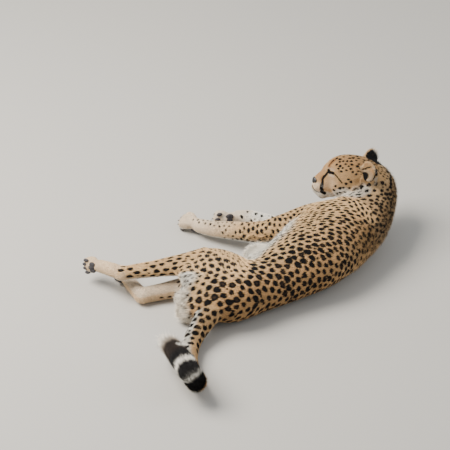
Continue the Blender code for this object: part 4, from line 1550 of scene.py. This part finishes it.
# the root levels darken each tuft's root as painted shade in the coat, less on the pale hair
coat_hair = coat_material("coat hair", 0.70, root=0.60)
pale_hair = coat_material("pale coat hair", 0.70, root=0.85)
print("materials:", [m.name for m in bpy.data.materials])

# %% [markdown]
# ## Unwrapping the skin
# Hair is coloured from its root, and a baked copy of the model finds that colour on a flat map
# of the skin. The skin is cut into charts by the way it faces and laid flat, and each tuft later
# takes a tiny patch of that map at its own root.

# %% Flat map of the skin
MAP_ANGLE = 66
TUFT_PATCH = 0.003


def unwrap(obj):
    bpy.ops.object.select_all(action="DESELECT")
    bpy.context.view_layer.objects.active = obj
    obj.select_set(True)
    obj.data.uv_layers.new(name="OFBake")
    bpy.ops.object.mode_set(mode="EDIT")
    bpy.ops.mesh.select_all(action="SELECT")
    bpy.ops.uv.smart_project(angle_limit=math.radians(MAP_ANGLE), island_margin=0.002)
    bpy.ops.object.mode_set(mode="OBJECT")


unwrap(skin)
skin_map = read(skin.data.uv_layers["OFBake"].data, "uv", 2, np.float32).astype(float)
skin.data.calc_loop_triangles()
triangle_loops = read(skin.data.loop_triangles, "loops", 3, np.int64)
print("map corners:", len(skin_map))

# %% [markdown]
# ## Hair
# A coat can't be a million loose hairs in a model that has to travel as a plain mesh. It is
# built of small solid tufts, each a slender three-sided spike, thousands of them overlapping like
# thatch. Geometry Nodes set one spike on each root, turn it along the lie of the coat, lift it
# by its rise, and vary it with a fixed seed. Short tufts cover the body. Longer ones with two
# joints stand on the nape, the belly, behind the thighs, in the ears and on the end of the tail.

# %% Tree that grows tufts
TUFT_INPUTS = (
    ("Roots", "Geometry", None), ("Thickness", "Float", 0.1), ("Rise", "Float", 0.2), ("Rise Spread", "Float", 0.1),
    ("Side Spread", "Float", 0.15), ("Bend", "Float", 0.0), ("Joints", "Int", 1), ("Seed", "Int", 1),
    ("Material", "Material", None),
)
LENGTH_SPREAD = 0.22
TUFT_FLAT = 0.55  # a tuft is this share as thick as it is wide


def tuft_tree():
    tree = bpy.data.node_groups.new("tufts", "GeometryNodeTree")
    for name, kind, value in TUFT_INPUTS:
        socket = tree.interface.new_socket(name, in_out="INPUT", socket_type="NodeSocket" + kind)
        if value is not None:
            socket.default_value = value
    tree.interface.new_socket("Coat", in_out="OUTPUT", socket_type="NodeSocketGeometry")
    n = Nodes(tree)
    given = n.add("NodeGroupInput").outputs
    spike = n.add("GeometryNodeMeshCone", {"Vertices": 3, "Side Segments": given["Joints"], "Radius Top": 0.0,
                                           "Radius Bottom": 0.5, "Depth": 1.0}).outputs["Mesh"]
    height = n.add("ShaderNodeSeparateXYZ", {0: n.add("GeometryNodeInputPosition").outputs[0]}).outputs["Z"]
    tipped = n.add("GeometryNodeStoreNamedAttribute", {"Geometry": spike, "Name": "tip", "Value": height}).outputs[0]
    bow = n.math("MULTIPLY", n.math("MULTIPLY", height, height), given["Bend"])
    offset = n.add("ShaderNodeCombineXYZ", {"X": n.math("MULTIPLY", bow, -1.0)}).outputs[0]
    bent = n.add("GeometryNodeSetPosition", {"Geometry": tipped, "Offset": offset}).outputs[0]

    def vector(operation, a, b, **extra):
        return n.add("ShaderNodeVectorMath", {0: a, 1: b}, operation=operation, **extra).outputs[0]

    def scaled(a, share):
        return n.add("ShaderNodeVectorMath", {0: a, "Scale": share}, operation="SCALE").outputs[0]

    def own(name, kind="FLOAT_VECTOR"):
        return n.add("GeometryNodeInputNamedAttribute", {"Name": name}, data_type=kind).outputs["Attribute"]

    chance = n.add("FunctionNodeRandomValue", {"Min": (-1, -1, -1), "Max": (1, 1, 1), "Seed": given["Seed"]},
                   data_type="FLOAT_VECTOR").outputs[0]
    parts = n.add("ShaderNodeSeparateXYZ", {0: chance}).outputs
    lift = n.math("MULTIPLY_ADD", parts["X"], given["Rise Spread"], given["Rise"])
    out, lie = own("out"), own("lie")
    spread = n.math("MULTIPLY", n.math("MULTIPLY", parts["Y"], given["Side Spread"]), own("rise", "FLOAT"))
    sideways = scaled(vector("CROSS_PRODUCT", out, lie), spread)
    way = vector("ADD", vector("ADD", lie, scaled(out, n.math("MULTIPLY", lift, own("rise", "FLOAT")))), sideways)
    turn = n.add("FunctionNodeAxesToRotation", {0: way, 1: out}, primary_axis="Z", secondary_axis="X").outputs[0]
    length = n.math("MULTIPLY", own("length", "FLOAT"), n.math("MULTIPLY_ADD", parts["Z"], LENGTH_SPREAD, 1.0))
    width = n.math("MULTIPLY", own("length", "FLOAT"), given["Thickness"])
    thin = n.math("MULTIPLY", width, TUFT_FLAT)
    scale = n.add("ShaderNodeCombineXYZ", {"X": thin, "Y": width, "Z": length}).outputs[0]
    placed = n.add("GeometryNodeInstanceOnPoints", {"Points": given["Roots"], "Instance": bent, "Rotation": turn,
                                                    "Scale": scale}).outputs[0]
    real = n.add("GeometryNodeRealizeInstances", {0: placed}).outputs[0]
    done = n.add("GeometryNodeSetMaterial", {"Geometry": real, "Material": given["Material"]}).outputs[0]
    n.add("NodeGroupOutput", {"Coat": done})
    return tree


tufts = tuft_tree()
tuft_sockets = {item.name: item.identifier for item in tufts.interface.items_tree if item.in_out == "INPUT"}
print("tuft inputs:", list(tuft_sockets))

# %% Growing one piece of the coat
MARK_REACH = 0.55  # a tuft shows its colour this share of its length past its root
TIP_FLOOR = 0.0006  # no tip goes lower than this


def grow(name, roots, material, seed, thickness, rise, rise_spread, side_spread, bend=0.0, joints=1):
    """A joined mesh of tufts on the roots, coloured and mapped."""
    mesh = bpy.data.meshes.new(name)
    mesh.from_pydata(roots["points"].tolist(), [], [])
    for key in ("out", "lie", "map"):
        layer = mesh.attributes.new(key, "FLOAT_VECTOR", "POINT")
        layer.data.foreach_set("vector", roots[key].astype(np.float32).ravel())
    add_marks(mesh, {"length": roots["length"], "rise": roots["rise"], "own": roots["own"], **roots["marks"]})
    holder = linked(name + "_roots", mesh)
    grower = holder.modifiers.new("tufts", "NODES")
    grower.node_group = tufts
    values = {"Thickness": thickness, "Rise": rise, "Rise Spread": rise_spread, "Side Spread": side_spread,
              # the bow is a share of the length, so the thin scale is taken out of it
              "Bend": bend / (thickness * TUFT_FLAT), "Joints": joints, "Seed": seed, "Material": material}
    for key, value in values.items():
        grower[tuft_sockets[key]] = value
    graph = bpy.context.evaluated_depsgraph_get()
    made = bpy.data.meshes.new_from_object(holder.evaluated_get(graph), depsgraph=graph)
    bpy.data.objects.remove(holder)
    made.name = name
    places = read(made.vertices, "co", 3, np.float32)
    places[:, 2] = np.maximum(places[:, 2], TIP_FLOOR)
    made.vertices.foreach_set("co", places.ravel())
    at = read(made.attributes["map"].data, "vector", 3, np.float32)
    tip = read(made.attributes["tip"].data, "value", kind=np.float32)
    corner = read(made.loops, "vertex_index", kind=np.int64)
    spread = (np.arange(len(at)) % 3 - 1) * 0.5
    uv = at[:, :2] + TUFT_PATCH * np.column_stack((spread, tip - 0.5))
    layer = made.uv_layers.new(name="OFBake")
    layer.data.foreach_set("uv", uv[corner].astype(np.float32).ravel())
    for key in ("out", "lie", "map"):
        made.attributes.remove(made.attributes[key])
    made.shade_smooth()
    made.update()
    made.calc_loop_triangles()
    piece = linked(name, made)
    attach(piece, "root")
    print(f"{name}: {len(roots['points'])} tufts, {len(made.loop_triangles)} triangles")
    return piece


def pick_roots(count, weight, rng, lengths, rises=None):
    """Roots for tufts: places on the skin by weight, with their lie, length and marks."""
    triangle_weight = weight[skin_triangles].mean(axis=1)
    pick, shares = scatter(skin_points, skin_triangles, count, rng, triangle_weight)
    points = mix_corners(skin_points, skin_triangles, pick, shares)
    out = unit(mix_corners(skin_normals, skin_triangles, pick, shares))
    lie = flatten(mix_corners(skin_lie, skin_triangles, pick, shares), out)
    length = mix_corners(lengths[:, None], skin_triangles, pick, shares)[:, 0] / 1000
    rise = np.ones(count) if rises is None else mix_corners(rises[:, None], skin_triangles, pick, shares)[:, 0]
    uv = (skin_map[triangle_loops[pick]] * shares[:, :, None]).sum(axis=1)
    shown = body_places(points + lie * (length * MARK_REACH)[:, None], out)
    return {"points": points, "out": out, "lie": lie, "length": length, "rise": rise, "own": rng.random(count),
            "map": np.column_stack((uv, np.zeros(count))), "marks": markings(shown)}


print("tuft patch:", TUFT_PATCH)

# %% Lie and length of the hair over the skin
HAIR_MM = {"body": 10.0, "leg": 8.0, "foot": 7.0, "toes": 4.2, "ear": 4.5, "belly": 13.0}
FACE_MM = ((-0.07, 0.0, 0.06, 0.11), (7.5, 5.6, 4.0, 2.4))  # places along the head, and the hair there in mm
NOSE_BARE = ((0.122, 0, -0.026), 0.017)

skin_lie = hair_lie(skin_place)
head_both = both_sides(in_head)
ear_share, ear_away, ear_facing = ear_zone(to_head(skin_points), head_directions(skin_normals))
limb = skin_place["limb"]
on_ear = on_the_ear(head_both, limb, ear_share, ear_away)
ear_way = np.tile(EAR_AXIS, (len(in_head), 1))
ear_way[:, 1] *= np.where(in_head[:, 1] < 0, -1.0, 1.0)
ear_way = unit(ear_way @ np.array(HEAD_FRAME.to_3x3()).T)
skin_lie[on_ear] = ear_way[on_ear]
skin_lie = flatten(skin_lie, skin_normals)

on_head = is_limb(limb, "head")
on_face = on_head & (distance_to(head_both, FACE_MIDDLE) < 0.14)
hair_mm = np.full(len(skin_points), HAIR_MM["body"])
hair_mm[is_limb(limb, "foreleg_left", "foreleg_right", "shank_left", "shank_right")] = HAIR_MM["leg"]
hair_mm[is_limb(limb, "foot_left", "foot_right")] = HAIR_MM["foot"]
hair_mm += (HAIR_MM["toes"] - hair_mm) * fade_out(0.05, 0.12, nearest_distance(skin_points, toe_points))
hair_mm = np.where(on_face, np.interp(head_both[:, 0], *FACE_MM), hair_mm)
hair_mm[on_ear] = HAIR_MM["ear"]
hair_mm[is_limb(limb, "trunk") & (skin_place["side"] > 0.5)] = HAIR_MM["belly"]
hair_mm = eased(hair_mm)
# hair that lies on the floor or faces it can't be seen and has no room
bare_floor = (skin_points[:, 2] < 0.012) & (skin_normals[:, 2] < -0.25)
hairy = np.where(bare_floor, 0.0, 1.0)
hairy[distance_to(to_head(skin_points), NOSE_BARE[0]) < NOSE_BARE[1]] = 0.0
print("hair from", round(float(hair_mm.min()), 1), "to", round(float(hair_mm.max()), 1), "mm")

# %% Short coat
BODY_PIECES = 3
BODY_TUFTS = 48000
FACE_TUFTS = 48000
BODY_LOOK = {"thickness": 0.24, "rise": 0.26, "rise_spread": 0.16, "side_spread": 0.22}
FACE_LOOK = {"thickness": 0.30, "rise": 0.24, "rise_spread": 0.12, "side_spread": 0.18}
head_part = on_face | on_ear
for name, part, count, seed, look in [
    (f"coat_short_{i}", ~head_part, BODY_TUFTS, (100 + i, 20 + i), BODY_LOOK) for i in range(BODY_PIECES)
] + [("coat_face", head_part, FACE_TUFTS, (200, 31), FACE_LOOK)]:
    rng = np.random.default_rng(seed[0])
    roots = pick_roots(count, hairy * part, rng, hair_mm)
    piece = grow(name, roots, coat_hair, seed[1], **look)

# %% Long hair: where it stands, its length in mm and its rise
ZONE_FADE = 0.35
BEHIND_EAR = tuple(HEAD_FRAME @ Vector((-0.032, 0.064, -0.020)))


def zone(centre, radius):
    return fade_out(1 - ZONE_FADE, 1 + ZONE_FADE, distance_to(skin_points, centre) / radius)


side = skin_place["side"]
neck_share = is_limb(limb, "neck").astype(float)
shoulders = is_limb(limb, "trunk") * blend_step(0.02, 0.12, skin_points[:, 0])
nape = (neck_share + shoulders) * fade_out(-0.95, -0.55, side) * (skin_points[:, 2] > 0.02)
belly_line = is_limb(limb, "trunk") * blend_step(0.55, 0.95, side) * (skin_points[:, 2] > 0.012)
belly_line = belly_line * (1 - 0.85 * blend_step(-0.12, 0.02, skin_points[:, 0]))
throat = neck_share * blend_step(0.3, 0.7, side)
tail_brush = is_limb(limb, "tail") * fade_out(0.29, 0.34, tail_left(skin_place))
tail_point = is_limb(limb, "tail") * fade_out(0.06, 0.11, tail_left(skin_place))
ear_rim = on_ear * (ear_facing > -0.15) * blend_step(0.2, 0.4, ear_share)
jaw = (on_head & ~on_ear) * fade_out(-0.050, -0.034, head_both[:, 2]) * fade_out(0.035, 0.070, head_both[:, 0])
inside = limb_inside(skin_place)
fringe = is_limb(limb, "foreleg_left") * blend_step(0.35, 0.8, inside) * fade_out(0.20, 0.30, skin_points[:, 1])
hock_fringe = is_limb(limb, "thigh_left", "shank_left") * blend_step(0.5, 0.9, inside)
long_zones = {
    # weight, length in mm, rise
    "belly": (1.2 * zone(BELLY_FLUFF[0], 0.075), 27, 1.5),
    "belly line": (0.7 * belly_line, 20, 1.2),
    "rear": (1.4 * zone(REAR_FLUFF[0], 0.064), 22, 2.3),
    "scrotum": (1.5 * zone(SCROTUM[0], 0.048), 17, 2.3),
    "throat": (0.6 * throat, 17, 1.1),
    "ear": (2.6 * ear_rim, 11, 1.3),
    "jaw": (1.8 * jaw, 14, 1.6),
    "ruff": (1.3 * fade_out(0.012, 0.028, path_distance(skin_points, RUFF)), 15, 1.3),
    "under the ear": (1.5 * zone(BEHIND_EAR, 0.026), 13, 1.4),
    "fringe": (0.8 * fringe, 15, 1.3),
    "leg": (0.4 * hock_fringe, 12, 1.1),
}
dark_zones = {
    "nape": (0.7 * nape, 18, 2.0),
    "tail": (1.3 * tail_brush, 22, 1.2),
    "tail tip": (2.0 * tail_point, 42, 1.3),
}


def long_hair(zones):
    """Weight, length and rise over the skin, from the strongest zone at each point."""
    weights, lengths, rises = zip(*zones.values())
    table = np.stack(weights)
    best = table.argmax(axis=0)
    return table.max(axis=0) * hairy, np.array(lengths, dtype=float)[best], np.array(rises)[best]


print("long zones:", {name: int((row[0] > 0.3).sum()) for name, row in {**long_zones, **dark_zones}.items()})

# %% Long hair on the belly, rear, throat and ears, and on the nape and tail
LONG_TUFTS = 19000
LONG_LOOK = {"thickness": 0.075, "rise": 0.30, "rise_spread": 0.24, "side_spread": 0.32, "bend": 0.14, "joints": 2}
for name, zones, slot, hair in (
    ("coat_long_pale", long_zones, "pale_coat", pale_hair), ("coat_long_dark", dark_zones, "dark_coat", coat_hair),
):
    rng = np.random.default_rng(300 + LONG_TUFTS + len(zones))
    weight, lengths, rises = long_hair(zones)
    roots = pick_roots(LONG_TUFTS, weight, rng, lengths, rises)
    piece = grow(name, roots, hair, 41 + len(zones), **LONG_LOOK)

# %% [markdown]
# ## Nose, pads, claws and whiskers
# Bare skin looks quite unlike hair: black, pebbled and slightly moist on the nose, dark grey and
# dull on the pads. Each is a rounded form of its own, set into the coat so that only its outer
# side shows. Claws are short curved cones that stay out, as a cheetah can't draw them in fully.
# Whiskers are long, thin tapering curves that grow from every second dot on the lip.

# %% Materials of the bare parts
def pebbled(name, colour, roughness, scale, height):
    made, n, _, give = shaded_material(name, colour, roughness)
    place = n.add("ShaderNodeTexCoord").outputs["Object"]
    pebbles = n.add("ShaderNodeTexVoronoi", {"Vector": place, "Scale": scale}).outputs["Distance"]
    give("Normal", n.add("ShaderNodeBump", {"Strength": 0.7, "Distance": height, "Height": pebbles}).outputs["Normal"])
    give("Base Color", n.tinted(colour, n.step(n.noise(scale / 6), 0.3, 0.7, 0.7, 1.3)))
    return made


nose_leather = pebbled("nose leather", linear(20, 17, 18), 0.34, 900.0, 0.00012)
# the pads are dark grey leather, made darker still as painted shade
pad_leather_and_shade = pebbled("pad leather", linear(54, 50, 52), 0.72, 700.0, 0.0006)
claw_horn = plain_material("claw horn", linear(88, 76, 66), 0.35)
whisker_hair = plain_material("whisker hair", linear(240, 236, 228), 0.45)
print("bare parts: 4 materials")

# %% Nose
NOSE_AT = (0.1125, 0, -0.0265)
NOSE_HALF = (0.0145, 0.0185, 0.0150)
NOSE_TAPER = 0.42  # how much narrower it is at the bottom
NOSE_TAPER_UP = 0.10
NOSTRIL = (0.0080, -0.0005, 0.0042, 0.0050)  # to the side, up, radius, depth
NOSE_FURROW = (0.0013, 0.0016)  # width and depth
BALL_CUTS = 5
BARE_FLOOR = 0.0004  # no bare part goes lower than this


def finished(name, mesh, material):
    """A piece with outward faces and its own map, riding on the body."""
    for vert in mesh.verts:
        vert.co.z = max(vert.co.z, BARE_FLOOR)
    piece = object_of(mesh, name)
    piece.data.materials.append(material)
    piece.data.shade_smooth()
    unwrap(piece)
    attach(piece, "root")
    print(f"{name}: {len(piece.data.polygons)} faces")


nose = bmesh.new()
bmesh.ops.create_icosphere(nose, subdivisions=BALL_CUTS, radius=1.0)
across, up, radius, depth = NOSTRIL
for vert in nose.verts:
    x, y, z = vert.co
    wide = 1 - NOSE_TAPER * max(0.0, -z) - NOSE_TAPER_UP * max(0.0, z)
    place = Vector((x * NOSE_HALF[0], y * NOSE_HALF[1] * wide, z * NOSE_HALF[2]))
    hole = math.hypot(abs(place.y) - across, 0.8 * (place.z - up))
    slit = max(0.0, abs(place.y) - across) * 0.6
    place.x -= depth * math.exp(-(((hole - min(hole, slit)) / radius) ** 2)) * (x > 0)
    place.x -= NOSE_FURROW[1] * math.exp(-((place.y / NOSE_FURROW[0]) ** 2)) * (x > 0)
    vert.co = HEAD_FRAME @ (place + Vector(NOSE_AT))
finished("nose", nose, nose_leather)

# %% Pads
# Lobes of the main pad: across, along, half length, and how deep, as shares of the paw
PAD_LOBES = ((-0.19, 0.48, 0.13, 0.41), (0.0, 0.53, 0.15, 0.445), (0.19, 0.48, 0.13, 0.41))
LOBE_HALF_WIDTH = 0.18
TOE_PAD = (0.0110, 0.105)  # half length, and half width as a share of the paw's width
TOE_PAD_DEEP = 0.26
PAD_HALF_THICK = 0.13
pads = bmesh.new()
for wrist, toes, sole, length, width, thick in PAWS:
    place = paw_frame(wrist, toes, sole)
    for across, along, half, deep in PAD_LOBES:
        sizes = (length * half, width * LOBE_HALF_WIDTH, thick * PAD_HALF_THICK)
        add_ellipsoid(pads, (length * along, width * across, -deep * thick), sizes, place)
    for step, share in TOES:
        side = step * width * TOE_STEP * (1 + TOE_SPREAD * abs(step))
        at = (length * share - TIP_BACK, side, thick * (TOE_RISE[1] - TOE_PAD_DEEP))
        add_ellipsoid(pads, at, (TOE_PAD[0], width * TOE_PAD[1], thick * PAD_HALF_THICK), place)
finished("paw_pads", pads, pad_leather_and_shade)

# %% Claws
CLAW_LENGTH = 0.010
CLAW_RADIUS = 0.0023
CLAW_RINGS = 7
CLAW_SIDES = 10
CLAW_BACK = 0.004  # how far the root lies behind the toe's end
CLAW_LIFT = 0.02  # share of the paw's thickness
CLAW_HOOK = 0.5  # how far the tip drops, as a share of the length


def add_tapered(mesh, path, radii, sides):
    """A closed tapering tube along a path, almost a point at its end."""
    rings = []
    for i, centre in enumerate(path):
        ahead = (path[min(i + 1, len(path) - 1)] - path[max(i - 1, 0)]).normalized()
        across = ahead.orthogonal().normalized()
        high = ahead.cross(across)
        turns = [2 * math.pi * k / sides for k in range(sides)]
        ring = [centre + radii[i] * (across * math.cos(t) + high * math.sin(t)) for t in turns]
        rings.append([mesh.verts.new(at) for at in ring])
    join_loops(mesh, rings)


claws = bmesh.new()
for wrist, toes, sole, length, width, thick in PAWS:
    place = paw_frame(wrist, toes, sole)
    for step, share in TOES:
        reach = length * share - CLAW_BACK
        path, radii = [], []
        for i in range(CLAW_RINGS):
            t = i / (CLAW_RINGS - 1)
            drop = thick * CLAW_LIFT - CLAW_HOOK * CLAW_LENGTH * t * t
            path.append(place @ Vector((reach + CLAW_LENGTH * t, step * width * TOE_STEP, drop)))
            radii.append(CLAW_RADIUS * (1.02 - t))
        add_tapered(claws, path, radii, CLAW_SIDES)
finished("claws", claws, claw_horn)

# %% Whiskers
WHISKER_LENGTH = (0.050, 0.082)
WHISKER_RADIUS = 0.00018
WHISKER_RINGS = 12
WHISKER_SIDES = 4
whiskers = bmesh.new()
rng = np.random.default_rng(77)
for row_place in WHISKER_ROWS[:12:2]:
    for sign, at, out in zip((1, -1), *on_skin((row_place,))):
        start, normal = Vector(at), Vector(out)
        back = (HEAD_FRAME.to_3x3() @ Vector((-1.0, 0.1 * sign, -0.25 + 0.2 * rng.random()))).normalized()
        length = rng.uniform(*WHISKER_LENGTH)
        path, radii = [], []
        for i in range(WHISKER_RINGS):
            t = i / (WHISKER_RINGS - 1)
            lean = (normal * (1 - 0.55 * t) + back * (0.25 + 0.75 * t)).normalized()
            path.append(start + lean * (length * t))
            radii.append(WHISKER_RADIUS * (1.05 - t))
        add_tapered(whiskers, path, radii, WHISKER_SIDES)
finished("whiskers", whiskers, whisker_hair)

# %% Hand the pieces to the frame
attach(skin, "root")
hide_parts(*sorted(nodes))
